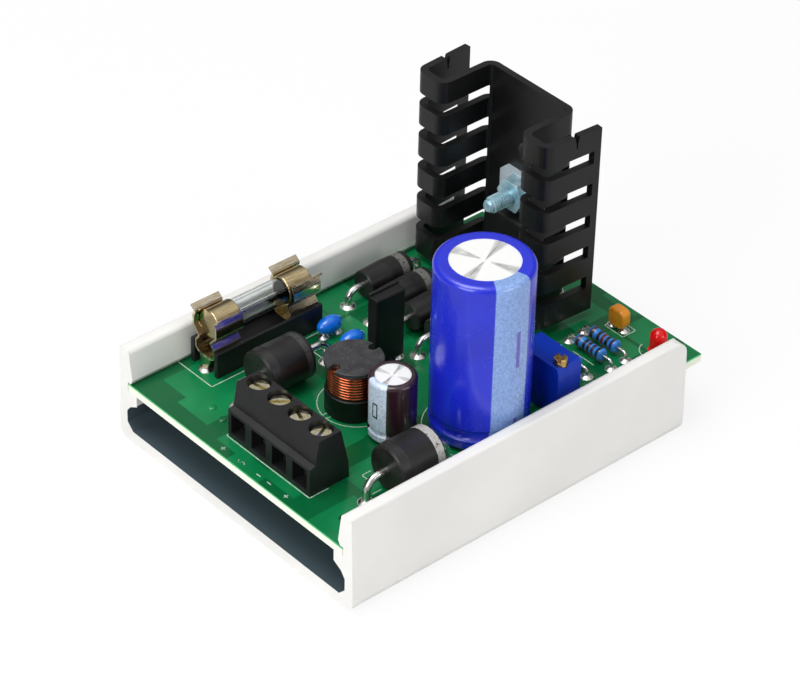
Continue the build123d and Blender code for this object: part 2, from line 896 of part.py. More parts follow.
with BuildPart() as inductor_leads:
    for pin_x, pin_y in round_spots:
        with BuildSketch(Plane((pin_x, pin_y, lead_tip))):
            Circle(winding_lead_radius)
        extrude(amount=deck + inductor_lift - lead_tip)
finish(inductor_leads, "inductor_leads")
solder(("round", winding_lead_radius), round_spots, shows_on_top=False)


def can_outline(radius, height, corner, ring, groove, skin):
    """Draw a can's outer line, skin further out, from its bottom ring to its top ring."""
    groove_height, groove_depth, groove_width = groove
    low = groove_height - groove_width / 2
    high = groove_height + groove_width / 2
    wide = radius + skin
    bend = corner + skin
    bow = bend * (1 - cos(radians(45)))
    top = height + skin
    Line((radius - ring, -skin), (wide - bend, -skin))
    ThreePointArc((wide - bend, -skin), (wide - bow, bow - skin), (wide, bend - skin))
    Line((wide, bend - skin), (wide, low))
    ThreePointArc((wide, low), (wide - groove_depth, groove_height), (wide, high))
    Line((wide, high), (wide, top - bend))
    ThreePointArc((wide, top - bend), (wide - bow, top - bow), (wide - bend, top))
    Line((wide - bend, top), (radius - ring, top))


# Can capacitors: aluminium can, printed sleeve, rubber bung and two leads each
can_plans = (
    (
        "main_capacitor",
        main_capacitor_place,
        (main_can_radius, main_can_height, main_corner, main_ring),
        (main_groove_height, main_groove_depth, main_groove_width),
        (main_lead_spacing, main_lead_radius),
    ),
    (
        "small_capacitor",
        small_capacitor_place,
        (small_can_radius, small_can_height, small_corner, small_ring),
        (small_groove_height, small_groove_depth, small_groove_width),
        (small_lead_spacing, small_lead_radius),
    ),
)
for can_name, spot, (radius, height, corner, ring), groove, (spacing, lead_radius) in can_plans:
    foot = place(*spot, can_lift)
    side_plane = Plane(origin=foot, x_dir=(1, 0, 0), z_dir=(0, -1, 0))
    upright = Axis(foot, (0, 0, 1))
    bung_radius = radius - ring - bung_rim
    bung_top = bung_recess + bung_height
    with BuildPart() as can:
        with BuildSketch(side_plane):
            with BuildLine():
                can_outline(radius, height, corner, ring, groove, 0)
                Polyline(
                    (radius - ring, height),
                    (0, height),
                    (0, bung_top),
                    (bung_radius, bung_top),
                    (bung_radius, 0),
                    (radius - ring, 0),
                )
            make_face()
        revolve(axis=upright)
        with BuildSketch(Plane(foot + Vector(0, 0, height))):
            for turn in vent_turns:
                with Locations(Location((0, 0, 0), (0, 0, turn))):
                    Rectangle(2 * (radius - ring) * vent_share, vent_width)
        extrude(amount=-vent_depth, mode=Mode.SUBTRACT)
    finish(can, f"{can_name}_can")

    with BuildPart() as sleeve:
        with BuildSketch(side_plane):
            with BuildLine():
                can_outline(radius, height, corner, ring, groove, 0)
                can_outline(radius, height, corner, ring, groove, sleeve_thickness)
                Line((radius - ring, 0), (radius - ring, -sleeve_thickness))
                Line((radius - ring, height), (radius - ring, height + sleeve_thickness))
            make_face()
        revolve(axis=upright)
    finish(sleeve, f"{can_name}_sleeve")

    lead_spots = [(foot.X, foot.Y + side * spacing / 2) for side in (-1, 1)]
    with BuildPart() as bung:
        with BuildSketch(Plane(foot + Vector(0, 0, bung_recess))):
            Circle(bung_radius)
        extrude(amount=bung_height)
        with BuildSketch(Plane(foot + Vector(0, 0, bung_recess))):
            with Locations((0, -spacing / 2), (0, spacing / 2)):
                Circle(lead_radius)
        extrude(amount=bung_height, mode=Mode.SUBTRACT)
    finish(bung, f"{can_name}_bung")

    with BuildPart() as leads:
        for pin_x, pin_y in lead_spots:
            with BuildSketch(Plane((pin_x, pin_y, lead_tip))):
                Circle(lead_radius)
            extrude(amount=foot.Z + bung_top - lead_tip)
    finish(leads, f"{can_name}_leads")
    solder(("round", lead_radius), lead_spots, shows_on_top=False)

# Two dipped blue capacitors along X, a small orange one along Y, and their wires
blue_axis_height = blue_lift + blue_half_height
blue_lead_top = deck + blue_axis_height
half_spacing = ceramic_lead_spacing / 2
ceramic_spots = []
for number, (blue_x, blue_y) in enumerate(blue_places, start=1):
    with BuildPart() as blue_capacitor:
        middle = place(blue_x, blue_y, blue_axis_height)
        with BuildSketch(Plane(origin=middle, x_dir=(1, 0, 0), z_dir=(0, -1, 0))):
            Ellipse(blue_half_length, blue_half_height)
            Rectangle(
                2 * (blue_half_length - blue_end_cut),
                blue_half_height,
                align=(Align.CENTER, Align.MIN),
                mode=Mode.INTERSECT,
            )
        revolve(axis=Axis(middle, (1, 0, 0)))
        blue_spots = [(middle.X + side * half_spacing, middle.Y) for side in (-1, 1)]
        with BuildSketch(Plane.XY.offset(blue_lead_top)):
            with Locations(*blue_spots):
                Circle(ceramic_lead_radius)
        extrude(amount=deck - blue_lead_top, mode=Mode.SUBTRACT)
    finish(blue_capacitor, f"blue_capacitor_{number}")
    ceramic_spots.extend(blue_spots)

orange_spot = place(*orange_place)
with BuildPart() as orange_capacitor:
    with Locations((orange_spot.X, orange_spot.Y, deck + orange_bottom)):
        Box(
            orange_thickness,
            orange_width,
            orange_top - orange_bottom,
            align=(Align.CENTER, Align.CENTER, Align.MIN),
        )
    fillet(orange_capacitor.edges().filter_by(Axis.X), radius=orange_corner)
    side_edges = orange_capacitor.edges().filter_by(lambda edge: edge.length > orange_edge)
    fillet(side_edges, radius=orange_edge)
    orange_spots = [(orange_spot.X, orange_spot.Y + side * half_spacing) for side in (-1, 1)]
    orange_lead_top = deck + (orange_bottom + orange_top) / 2
    with BuildSketch(Plane.XY.offset(orange_lead_top)):
        with Locations(*orange_spots):
            Circle(ceramic_lead_radius)
    extrude(amount=deck - orange_lead_top, mode=Mode.SUBTRACT)
finish(orange_capacitor, "orange_capacitor")

with BuildPart() as ceramic_capacitor_leads:
    for spots, top in ((ceramic_spots, blue_lead_top), (orange_spots, orange_lead_top)):
        for pin_x, pin_y in spots:
            with BuildSketch(Plane((pin_x, pin_y, lead_tip))):
                Circle(ceramic_lead_radius)
            extrude(amount=top - lead_tip)
finish(ceramic_capacitor_leads, "ceramic_capacitor_leads")
solder(("round", ceramic_lead_radius), ceramic_spots + orange_spots)

# Trimmer: a chamfered block with a blind bore, its brass screw and three pins
trimmer_corner = place(trimmer_start, trimmer_near, trimmer_lift)
trimmer_top = trimmer_corner.Z + trimmer_height
adjuster_x = trimmer_corner.X + trimmer_screw_setback[0]
adjuster_y = trimmer_corner.Y + trimmer_screw_setback[1]
with BuildPart() as trimmer_body:
    with Locations(tuple(trimmer_corner)):
        Box(
            trimmer_width,
            trimmer_length,
            trimmer_height,
            align=(Align.MIN, Align.MIN, Align.MIN),
        )
    upper_near = trimmer_body.edges().filter_by(Axis.X).group_by(Axis.Z)[-1].sort_by(Axis.Y)[0]
    chamfer(upper_near, length=trimmer_edge, length2=trimmer_edge * 0.5)
    with BuildSketch(Plane((adjuster_x, adjuster_y, trimmer_top))):
        Circle(trimmer_screw_radius + trimmer_running_clearance)
    extrude(amount=-trimmer_screw_sink - trimmer_end_clearance, mode=Mode.SUBTRACT)
    with BuildSketch(Plane((adjuster_x, adjuster_y, trimmer_top))):
        Circle(trimmer_spindle_radius + trimmer_running_clearance)
    bore_depth = trimmer_screw_sink + trimmer_spindle_length + 2 * trimmer_end_clearance
    extrude(amount=-bore_depth, mode=Mode.SUBTRACT)
finish(trimmer_body, "trimmer_body")

with BuildPart() as trimmer_screw:
    with BuildSketch(Plane((adjuster_x, adjuster_y, trimmer_top - trimmer_screw_sink))):
        Circle(trimmer_screw_radius)
    extrude(amount=trimmer_screw_sink + trimmer_screw_rise)
    chamfer(trimmer_screw.faces().sort_by(Axis.Z)[-1].edges(), length=trimmer_screw_edge)
    with BuildSketch(Plane((adjuster_x, adjuster_y, trimmer_top - trimmer_screw_sink))):
        Circle(trimmer_spindle_radius)
    extrude(amount=-trimmer_spindle_length)
    adjuster_top = Plane((adjuster_x, adjuster_y, trimmer_top + trimmer_screw_rise))
    with BuildSketch(adjuster_top.rotated((0, 0, trimmer_slot_turn))):
        Rectangle(2 * trimmer_screw_radius + 1, trimmer_slot_width)
    extrude(amount=-trimmer_slot_depth, mode=Mode.SUBTRACT)
finish(trimmer_screw, "trimmer_screw")

trimmer_middle_y = trimmer_corner.Y + trimmer_length / 2
trimmer_pin_x = trimmer_corner.X + trimmer_width / 2
trimmer_spots = [(trimmer_pin_x, trimmer_middle_y + trimmer_pin_spacing * step) for step in (-1, 0, 1)]
with BuildPart() as trimmer_pins:
    for pin_x, pin_y in trimmer_spots:
        with BuildSketch(Plane((pin_x, pin_y, lead_tip))):
            Circle(trimmer_pin_radius)
        extrude(amount=trimmer_corner.Z - lead_tip)
finish(trimmer_pins, "trimmer_pins")
solder(("round", trimmer_pin_radius), trimmer_spots, shows_on_top=False)

# Resistors: bodies with thick ends and a slim middle, along Y
resistor_pads = []
for number, (row_x, middle_y) in enumerate(zip(resistor_rows, resistor_middles), start=1):
    with BuildPart() as resistor:
        start = place(row_x, middle_y - resistor_length / 2, resistor_axis_height)
        half = resistor_length / 2
        with BuildSketch(Plane(origin=start, x_dir=(0, 1, 0), z_dir=(1, 0, 0))) as resistor_section:
            with BuildLine():
                Polyline((resistor_length, 0), (0, 0), (0, resistor_waist * resistor_end_share))
                Spline(
                    (0, resistor_waist * resistor_end_share),
                    (resistor_cap / 2, resistor_radius),
                    (resistor_cap + resistor_neck, resistor_waist),
                    tangents=((0, 1), (1, 0)),
                )
                Line((resistor_cap + resistor_neck, resistor_waist), (half, resistor_waist))
                Line(
                    (half, resistor_waist),
                    (resistor_length - resistor_cap - resistor_neck, resistor_waist),
                )
                Spline(
                    (resistor_length - resistor_cap - resistor_neck, resistor_waist),
                    (resistor_length - resistor_cap / 2, resistor_radius),
                    (resistor_length, resistor_waist * resistor_end_share),
                    tangents=((1, 0), (0, -1)),
                )
                Line((resistor_length, resistor_waist * resistor_end_share), (resistor_length, 0))
            make_face()
        revolve(axis=Axis(start, (0, 1, 0)))
    finish(resistor, f"resistor_{number}")
    resistor_pads.append((start, middle_y))

with BuildPart() as resistor_leads:
    for start, middle_y in resistor_pads:
        middle = board_near + middle_y
        for side in (-1, 1):
            face_y = middle + side * resistor_length / 2
            pad_y = middle + side * resistor_pad_spacing / 2
            bent_wire(
                (
                    (start.X, face_y, start.Z),
                    (start.X, pad_y, start.Z),
                    (start.X, pad_y, lead_tip),
                ),
                resistor_lead_bend,
                resistor_lead_radius,
            )
            solder(("round", resistor_lead_radius), [(start.X, pad_y)])
finish(resistor_leads, "resistor_leads")

# Indicator lamp: a domed lens on a flange, with two square legs
lamp_foot = place(*lamp_place)
with BuildPart() as led_lens:
    with BuildSketch(Plane(origin=lamp_foot, x_dir=(1, 0, 0), z_dir=(0, -1, 0))):
        with BuildLine():
            Polyline(
                (0, lamp_height),
                (0, lamp_lift),
                (lamp_flange_radius, lamp_lift),
                (lamp_flange_radius, lamp_lift + lamp_flange_height),
                (lamp_radius, lamp_lift + lamp_flange_height),
                (lamp_radius, lamp_height - lamp_radius),
            )
            bow = lamp_radius * sin(radians(45))
            ThreePointArc(
                (lamp_radius, lamp_height - lamp_radius),
                (bow, lamp_height - lamp_radius + bow),
                (0, lamp_height),
            )
        make_face()
    revolve(axis=Axis(lamp_foot, (0, 0, 1)))
finish(led_lens, "led_lens")

lamp_spots = [(lamp_foot.X, lamp_foot.Y + side * lamp_lead_spacing / 2) for side in (-1, 1)]
with BuildPart() as led_leads:
    for pin_x, pin_y in lamp_spots:
        with Locations((pin_x, pin_y, lead_tip)):
            Box(
                lamp_lead_width,
                lamp_lead_width,
                deck + lamp_lift - lead_tip,
                align=(Align.CENTER, Align.CENTER, Align.MIN),
            )
finish(led_leads, "led_leads")
solder(("flat", lamp_lead_width, lamp_lead_width), lamp_spots, shows_on_top=False)

# Heatsink: the folded plan, then slots, notches, holes and two solder tabs
sink_y = board_near + sink_middle
front_x = board_left + sink_front + sheet / 2
back_x = board_left + sink_back - sheet / 2
end_x = board_left + sink_plate_end
inner_y = sink_inner_half_width - sheet / 2
outer_y = sink_outer_half_width - sheet / 2
sink_base = deck + sink_bottom
sink_top = sink_base + sink_height
with BuildPart() as heatsink:
    with BuildLine() as half_fold:
        FilletPolyline(
            (back_x, sink_y),
            (back_x, sink_y + inner_y),
            (front_x, sink_y + inner_y),
            (front_x, sink_y + outer_y),
            (end_x, sink_y + outer_y + sink_splay),
            radius=sink_bend_radius - sheet / 2,
        )
        mirror(about=Plane.XZ.offset(-sink_y))
    with BuildSketch(Plane.XY.offset(sink_base)):
        trace(half_fold.line, line_width=sheet)
    extrude(amount=sink_height)
    slot_start = front_x - sheet
    slot_cuts = (
        (sink_slot_edge, sink_slot_middle - sink_slot_edge, sink_inner_slot_end),
        (sink_slot_middle, sink_outer_half_width, sink_outer_slot_end),
    )
    for side in (-1, 1):
        for number in range(sink_slots):
            slot_top = sink_top - sink_first_slot - number * sink_slot_pitch
            for slot_edge, slot_reach, slot_end in slot_cuts:
                with Locations((slot_start, sink_y + side * slot_edge, slot_top)):
                    Box(
                        board_left + slot_end - slot_start,
                        slot_reach,
                        sink_slot_height,
                        align=(Align.MIN, Align.MIN if side > 0 else Align.MAX, Align.MAX),
                        mode=Mode.SUBTRACT,
                    )
    notch_x = board_left + sink_notch_place
    for side in (-1, 1):
        wall_gap_y = sink_y + side * (sink_inner_half_width + sink_notch_gap)
        with BuildSketch(Plane.XZ.offset(-wall_gap_y)):
            with BuildLine():
                Polyline(
                    (notch_x - sink_notch_width / 2, sink_top + sheet),
                    (notch_x + sink_notch_width / 2, sink_top + sheet),
                    (notch_x + sink_notch_tip, sink_top - sink_notch_depth * sink_notch_straight),
                    (notch_x + sink_notch_tip, sink_top - sink_notch_depth),
                    (notch_x - sink_notch_tip, sink_top - sink_notch_depth),
                    (notch_x - sink_notch_tip, sink_top - sink_notch_depth * sink_notch_straight),
                    close=True,
                )
            make_face()
        extrude(amount=-side * sink_outer_half_width, mode=Mode.SUBTRACT)
    with BuildSketch(Plane.YZ.offset(board_left + sink_back)):
        with Locations((board_near + regulator_middle, deck + fixing_height)):
            Circle(fixing_radius + fixing_clearance)
        with Locations((sink_y, deck + sink_spare_hole_height)):
            Circle(sink_spare_hole_radius)
    extrude(amount=-sheet, mode=Mode.SUBTRACT)
    sink_tabs = [(back_x, sink_y + side * sink_tab_middle) for side in (-1, 1)]
    for tab_x, tab_y in sink_tabs:
        with Locations((tab_x, tab_y, lead_tip)):
            Box(
                sheet,
                sink_tab_width,
                sink_base - lead_tip,
                align=(Align.CENTER, Align.CENTER, Align.MIN),
            )
finish(heatsink, "heatsink")
solder(("flat", sheet, sink_tab_width), sink_tabs)

# Regulator: moulded body, the metal tab with its leads, screw and nut
regulator_y = board_near + regulator_middle
tab_back = board_left + sink_back - sheet
tab_front = tab_back - regulator_tab_thickness
body_front = tab_back - regulator_body_thickness
body_bottom = deck + regulator_body_bottom
body_top = body_bottom + regulator_body_height
lead_x = tab_back - regulator_lead_setback
with BuildPart() as regulator_body:
    with Locations((body_front, regulator_y, body_bottom)):
        Box(
            tab_front - body_front,
            regulator_width,
            regulator_body_height,
            align=(Align.MIN, Align.CENTER, Align.MIN),
        )
    chamfer(regulator_body.faces().sort_by(Axis.X)[0].edges(), length=regulator_body_edge)
    regulator_pins = [(lead_x, regulator_y + step * regulator_lead_pitch) for step in (-1, 0, 1)]
    with Locations(*[(x, y, body_bottom) for x, y in regulator_pins]):
        Box(
            regulator_lead_thickness,
            regulator_shoulder_width,
            regulator_lead_root,
            align=(Align.CENTER, Align.CENTER, Align.MIN),
            mode=Mode.SUBTRACT,
        )
    with Locations((tab_front, regulator_y, body_bottom + regulator_bridge_rise)):
        Box(
            tab_front - lead_x,
            regulator_shoulder_width,
            regulator_lead_root - regulator_bridge_rise,
            align=(Align.MAX, Align.CENTER, Align.MIN),
            mode=Mode.SUBTRACT,
        )
finish(regulator_body, "regulator_body")

with BuildPart() as regulator_frame:
    with Locations((tab_back, regulator_y, body_bottom + regulator_bridge_rise)):
        Box(
            regulator_tab_thickness,
            regulator_width,
            deck + regulator_tab_top - body_bottom - regulator_bridge_rise,
            align=(Align.MAX, Align.CENTER, Align.MIN),
        )
    chamfer(regulator_frame.edges().filter_by(Axis.X).group_by(Axis.Z)[-1], length=regulator_tab_corner)
    with BuildSketch(Plane.YZ.offset(tab_back)):
        with Locations((regulator_y, deck + fixing_height)):
            Circle(regulator_tab_hole_radius)
    extrude(amount=-regulator_tab_thickness, mode=Mode.SUBTRACT)
    for pin_x, pin_y in regulator_pins:
        with Locations((pin_x, pin_y, lead_tip)):
            Box(
                regulator_lead_thickness,
                regulator_lead_width,
                body_bottom + regulator_lead_root - lead_tip,
                align=(Align.CENTER, Align.CENTER, Align.MIN),
            )
        with Locations((pin_x, pin_y, body_bottom + regulator_lead_root)):
            Box(
                regulator_lead_thickness,
                regulator_shoulder_width,
                regulator_lead_root + regulator_shoulder_height,
                align=(Align.CENTER, Align.CENTER, Align.MAX),
            )
    with Locations((tab_front, regulator_y, body_bottom + regulator_bridge_rise)):
        Box(
            tab_front - lead_x,
            regulator_shoulder_width,
            regulator_lead_root - regulator_bridge_rise,
            align=(Align.MAX, Align.CENTER, Align.MIN),
        )
finish(regulator_frame, "regulator_frame")
solder(("flat", regulator_lead_thickness, regulator_lead_width), regulator_pins)

screw_seat = board_left + sink_back
screw_plane = Plane(
    origin=(screw_seat, regulator_y, deck + fixing_height), x_dir=(-1, 0, 0), z_dir=(0, 1, 0)
)
dome_rise = fixing_head_height - fixing_head_rim
dome_radius = (fixing_head_radius**2 + dome_rise**2) / (2 * dome_rise)
dome_centre = fixing_head_height - dome_radius
dome_half_turn = asin(fixing_head_radius / dome_radius) / 2
with BuildPart() as regulator_screw:
    with BuildSketch(screw_plane) as screw_section:
        with BuildLine():
            Polyline(
                (0, fixing_radius - thread_crest),
                (0, fixing_head_radius),
                (-fixing_head_rim, fixing_head_radius),
            )
            ThreePointArc(
                (-fixing_head_rim, fixing_head_radius),
                (-dome_centre - dome_radius * cos(dome_half_turn), dome_radius * sin(dome_half_turn)),
                (-fixing_head_height, 0),
            )
            Polyline(
                (-fixing_head_height, 0),
                (fixing_length, 0),
                (fixing_length, fixing_radius - fixing_tip_drop),
                (fixing_length - fixing_tip_length, fixing_radius - thread_crest),
                (0, fixing_radius - thread_crest),
            )
        make_face()
    revolve(axis=Axis(screw_plane.origin, screw_plane.x_dir))
    for wing in (0, 90):
        with BuildSketch(Plane.YZ.offset(screw_seat + fixing_head_height - fixing_recess_depth)):
            with Locations(Location((regulator_y, deck + fixing_height), wing)):
                Rectangle(fixing_recess_length, fixing_recess_width)
        extrude(amount=fixing_head_height, mode=Mode.SUBTRACT)
finish(regulator_screw, "regulator_screw")

with BuildPart() as regulator_nut:
    with BuildSketch(Plane.YZ.offset(tab_front)):
        with Locations((regulator_y, deck + fixing_height)):
            RegularPolygon(nut_flats / 2, 6, major_radius=False)
            Circle(fixing_radius - thread_crest, mode=Mode.SUBTRACT)
    extrude(amount=-nut_height)
finish(regulator_nut, "regulator_nut")

# Circuit board, with a hole for every lead, and the solder joints around the leads
with BuildPart() as circuit_board:
    with BuildSketch(Plane.XY.offset(board_bottom)):
        Rectangle(board_length, board_width)
        with Locations(tuple(place(*mounting_hole_place))[:2]):
            Circle(mounting_hole_radius, mode=Mode.SUBTRACT)
        for pin_shape, pin_spots, shows_on_top in soldered:
            with Locations(*pin_spots):
                if pin_shape[0] == "round":
                    Circle(pin_shape[1] + hole_clearance, mode=Mode.SUBTRACT)
                else:
                    reach = (pin_shape[1] ** 2 + pin_shape[2] ** 2) ** 0.5 / 2
                    Circle(reach + hole_clearance / 2, mode=Mode.SUBTRACT)
    extrude(amount=board_thickness)
finish(circuit_board, "circuit_board")

with BuildPart() as solder_joints:
    for pin_shape, pin_spots, shows_on_top in soldered:
        if pin_shape[0] == "round":
            reach = pin_shape[1]
            hole_radius = reach + hole_clearance
        else:
            reach = (pin_shape[1] ** 2 + pin_shape[2] ** 2) ** 0.5 / 2
            hole_radius = reach + hole_clearance / 2
        with Locations(*[(x, y, board_bottom) for x, y in pin_spots]):
            Cone(
                reach + 0.1,
                hole_radius + solder_foot,
                solder_bottom_height,
                align=(Align.CENTER, Align.CENTER, Align.MAX),
            )
            Cylinder(
                hole_radius,
                board_thickness,
                align=(Align.CENTER, Align.CENTER, Align.MIN),
            )
        if shows_on_top:
            with Locations(*[(x, y, deck) for x, y in pin_spots]):
                Cone(
                    hole_radius + solder_foot,
                    reach + 0.1,
                    solder_top_height,
                    align=(Align.CENTER, Align.CENTER, Align.MIN),
                )
        with BuildSketch(Plane.XY.offset(lead_tip)):
            with Locations(*pin_spots):
                if pin_shape[0] == "round":
                    Circle(pin_shape[1])
                else:
                    Rectangle(pin_shape[1], pin_shape[2])
        extrude(amount=deck - lead_tip + 2 * solder_top_height, mode=Mode.SUBTRACT)
finish(solder_joints, "solder_joints")
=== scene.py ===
# %% [markdown]
# # An adjustable power supply board, dressed for its photograph
# The object is a circuit board in a pale plastic snap track: a terminal block, a glass fuse,
# diodes, a drum coil, two can capacitors, a trimmer, a few small parts and a folded heatsink.
# Its solids come ready made and in place. This file gives them their finishes, and rebuilds the
# pieces whose real shape is finer than a solid needs to be.

# %% Start empty and load the solids
import bpy
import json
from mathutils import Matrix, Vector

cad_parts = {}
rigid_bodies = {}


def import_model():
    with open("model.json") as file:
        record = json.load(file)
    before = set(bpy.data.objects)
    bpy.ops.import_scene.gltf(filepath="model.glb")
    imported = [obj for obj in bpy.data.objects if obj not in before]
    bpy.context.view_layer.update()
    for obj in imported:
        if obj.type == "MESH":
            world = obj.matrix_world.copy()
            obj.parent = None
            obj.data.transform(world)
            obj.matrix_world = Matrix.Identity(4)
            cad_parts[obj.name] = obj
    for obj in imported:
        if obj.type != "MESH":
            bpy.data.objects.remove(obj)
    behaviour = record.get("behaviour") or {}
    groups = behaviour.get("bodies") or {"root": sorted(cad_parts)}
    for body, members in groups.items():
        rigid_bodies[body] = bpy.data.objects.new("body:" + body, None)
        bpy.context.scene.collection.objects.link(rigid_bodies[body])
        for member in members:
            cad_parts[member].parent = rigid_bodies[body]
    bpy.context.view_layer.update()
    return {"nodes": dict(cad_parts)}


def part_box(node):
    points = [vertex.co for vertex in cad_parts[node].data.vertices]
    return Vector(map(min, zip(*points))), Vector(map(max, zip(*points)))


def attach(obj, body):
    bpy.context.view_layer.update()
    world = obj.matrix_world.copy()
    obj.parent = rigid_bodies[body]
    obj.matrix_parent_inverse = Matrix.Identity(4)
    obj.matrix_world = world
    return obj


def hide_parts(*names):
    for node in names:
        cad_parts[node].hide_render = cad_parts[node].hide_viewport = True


for leftover in list(bpy.data.objects):
    bpy.data.objects.remove(leftover)

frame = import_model()

import json
import math

import bmesh
from mathutils import Matrix, Quaternion, Vector

scene = bpy.context.scene
solids = frame["nodes"]
print("solids loaded:", len(solids))

# %% [markdown]
# ## Where things are
# Everything on the board is placed in millimetres from the board's near corner by the terminals,
# as a maker would read it off a drawing. One helper turns that into the model's own metres, and
# one finds the middle of a solid, which finishes with rings and stripes are centred on.

# %% Places on the board
MM = 0.001
board_low, board_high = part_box("circuit_board")


def on_board(x, y, up=0.0):
    """Turn millimetres along and across the board, and over its top, into the model's frame."""
    return Vector((board_low.x + x * MM, board_low.y + y * MM, board_high.z + up * MM))


def middle_of(node):
    """The middle of a solid's box."""
    low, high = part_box(node)
    return (low + high) / 2


print("board in mm:", [round(v / MM, 2) for v in board_high - board_low])

# %% [markdown]
# ## Camera
# The photograph is taken from a good half metre away, from above the terminals' corner. A long
# lens keeps the edges nearly parallel, as they are there, and the camera leans by a degree and a
# half. The camera comes first, because every later choice is judged through it.

# %% Camera
object_middle = Vector((0, 0, 20 * MM))
looking = Vector((0.5367, 0.5967, -0.5966))
lean_degrees = 1.45
camera_data = bpy.data.cameras.new("camera")
camera_data.lens = 151.69
camera_data.sensor_width = 36
camera_data.clip_start = 0.01
camera = bpy.data.objects.new("camera", camera_data)
camera.location = (-0.29795, -0.3268, 0.3469)
camera.rotation_mode = "QUATERNION"
lean = Quaternion((0, 0, 1), math.radians(lean_degrees))
camera.rotation_quaternion = looking.to_track_quat("-Z", "Y") @ lean
scene.collection.objects.link(camera)
scene.camera = camera
scene.view_settings.view_transform = "Standard"
print("camera is", round((camera.location - object_middle).length, 3), "m away")

# %% [markdown]
# ## Node helpers
# Materials are built from nodes. Small helpers keep the wiring readable: they add a node and fill
# or link its inputs by name, do arithmetic, blend colours, turn one range of values into another,
# and turn a colour picked on a screen into the linear colour that a shader needs.

# %% Node helpers


def screen(red, green, blue):
    """Turn a colour as it looks on a screen, 0 to 255, into a shader's linear colour."""
    linear = []
    for value in (red, green, blue):
        share = value / 255
        linear.append(share / 12.92 if share <= 0.04045 else ((share + 0.055) / 1.055) ** 2.4)
    return (*linear, 1.0)


def feed(tree, socket, value):
    """Link a socket to an input, or set the input to a plain value."""
    if isinstance(value, bpy.types.NodeSocket):
        tree.links.new(value, socket)
    else:
        socket.default_value = value


def feed_by_name(tree, node, inputs):
    """Fill a node's inputs by name, with an underscore for each blank."""
    for name, value in inputs.items():
        feed(tree, node.inputs[name.replace("_", " ")], value)


def add_node(tree, kind, **inputs):
    """Add a node and fill its inputs."""
    node = tree.nodes.new(kind)
    feed_by_name(tree, node, inputs)
    return node


def reckon(tree, operation, *terms):
    """Do one step of arithmetic on numbers and sockets, and give the result's socket."""
    node = tree.nodes.new("ShaderNodeMath")
    node.operation = operation
    for socket, term in zip(node.inputs, terms):
        feed(tree, socket, term)
    return node.outputs[0]


def mix_colours(tree, share, first, second):
    """Blend two colours by a share, where each may be a value or a socket."""
    node = tree.nodes.new("ShaderNodeMix")
    node.data_type = "RGBA"
    for index, value in ((0, share), (6, first), (7, second)):
        feed(tree, node.inputs[index], value)
    return node.outputs[2]


def fade(tree, value, start, end, low=0.0, high=1.0):
    """Go from low to high while a value goes from start to end, and stay level outside."""
    return add_node(
        tree, "ShaderNodeMapRange", Value=value, From_Min=start, From_Max=end, To_Min=low, To_Max=high
    ).outputs[0]


def noise(tree, place, scale, detail=2.0):
    """A noise pattern, from 0 to 1."""
    return add_node(tree, "ShaderNodeTexNoise", Vector=place, Scale=scale, Detail=detail).outputs["Fac"]


def object_place(tree):
    """The place on the object, which stays with the surface."""
    return add_node(tree, "ShaderNodeTexCoord").outputs["Object"]


def axes_of(tree, vector):
    """A vector's X, Y and Z."""
    return add_node(tree, "ShaderNodeSeparateXYZ", Vector=vector).outputs


# %% [markdown]
# ## Shared surface groups
# Three effects come back in nearly every finish, so each is a node group. "Moulded grain" gives
# plastic and paint a faint clouding and a fine grain. "Drawn metal" gives metal streaks along one
# axis. "Band" is a soft mask round a middle value, used for stripes, rings and printed marks.

# %% The groups' sockets
NUMBER = "NodeSocketFloat"
COLOUR = "NodeSocketColor"
VECTOR = "NodeSocketVector"
GREY = (0.5, 0.5, 0.5, 1.0)
FINISH_OUTPUTS = (("Colour", COLOUR), ("Roughness", NUMBER), ("Height", NUMBER))


def start_group(name, inputs, outputs):
    """Make a node group with named number, colour and vector sockets."""
    group = bpy.data.node_groups.new(name, "ShaderNodeTree")
    for socket_name, kind, value in inputs:
        socket = group.interface.new_socket(socket_name, in_out="INPUT", socket_type=kind)
        socket.default_value = value
    for socket_name, kind in outputs:
        group.interface.new_socket(socket_name, in_out="OUTPUT", socket_type=kind)
    return group, group.nodes.new("NodeGroupInput").outputs, group.nodes.new("NodeGroupOutput")


# %% Moulded grain
NOISE_LOW, NOISE_HIGH = 0.35, 0.65
moulded_grain, given, result = start_group(
    "Moulded grain",
    (
        ("Colour", COLOUR, GREY),
        ("Clouded", COLOUR, GREY),
        ("Cloud Scale", NUMBER, 150.0),
        ("Grain Scale", NUMBER, 4000.0),
        ("Smoothest", NUMBER, 0.3),
        ("Roughest", NUMBER, 0.5),
    ),
    FINISH_OUTPUTS,
)
place = object_place(moulded_grain)
clouds = noise(moulded_grain, place, given["Cloud Scale"], 3.0)
grain = noise(moulded_grain, place, given["Grain Scale"])
cloud_share = fade(moulded_grain, clouds, NOISE_LOW, NOISE_HIGH)
unevenness = reckon(moulded_grain, "MULTIPLY", grain, 0.5)
unevenness = reckon(moulded_grain, "MULTIPLY_ADD", cloud_share, 0.5, unevenness)
roughness = fade(moulded_grain, unevenness, 0.0, 1.0, given["Smoothest"], given["Roughest"])
clouded = mix_colours(moulded_grain, cloud_share, given["Colour"], given["Clouded"])
feed_by_name(moulded_grain, result, {"Colour": clouded, "Roughness": roughness, "Height": grain})

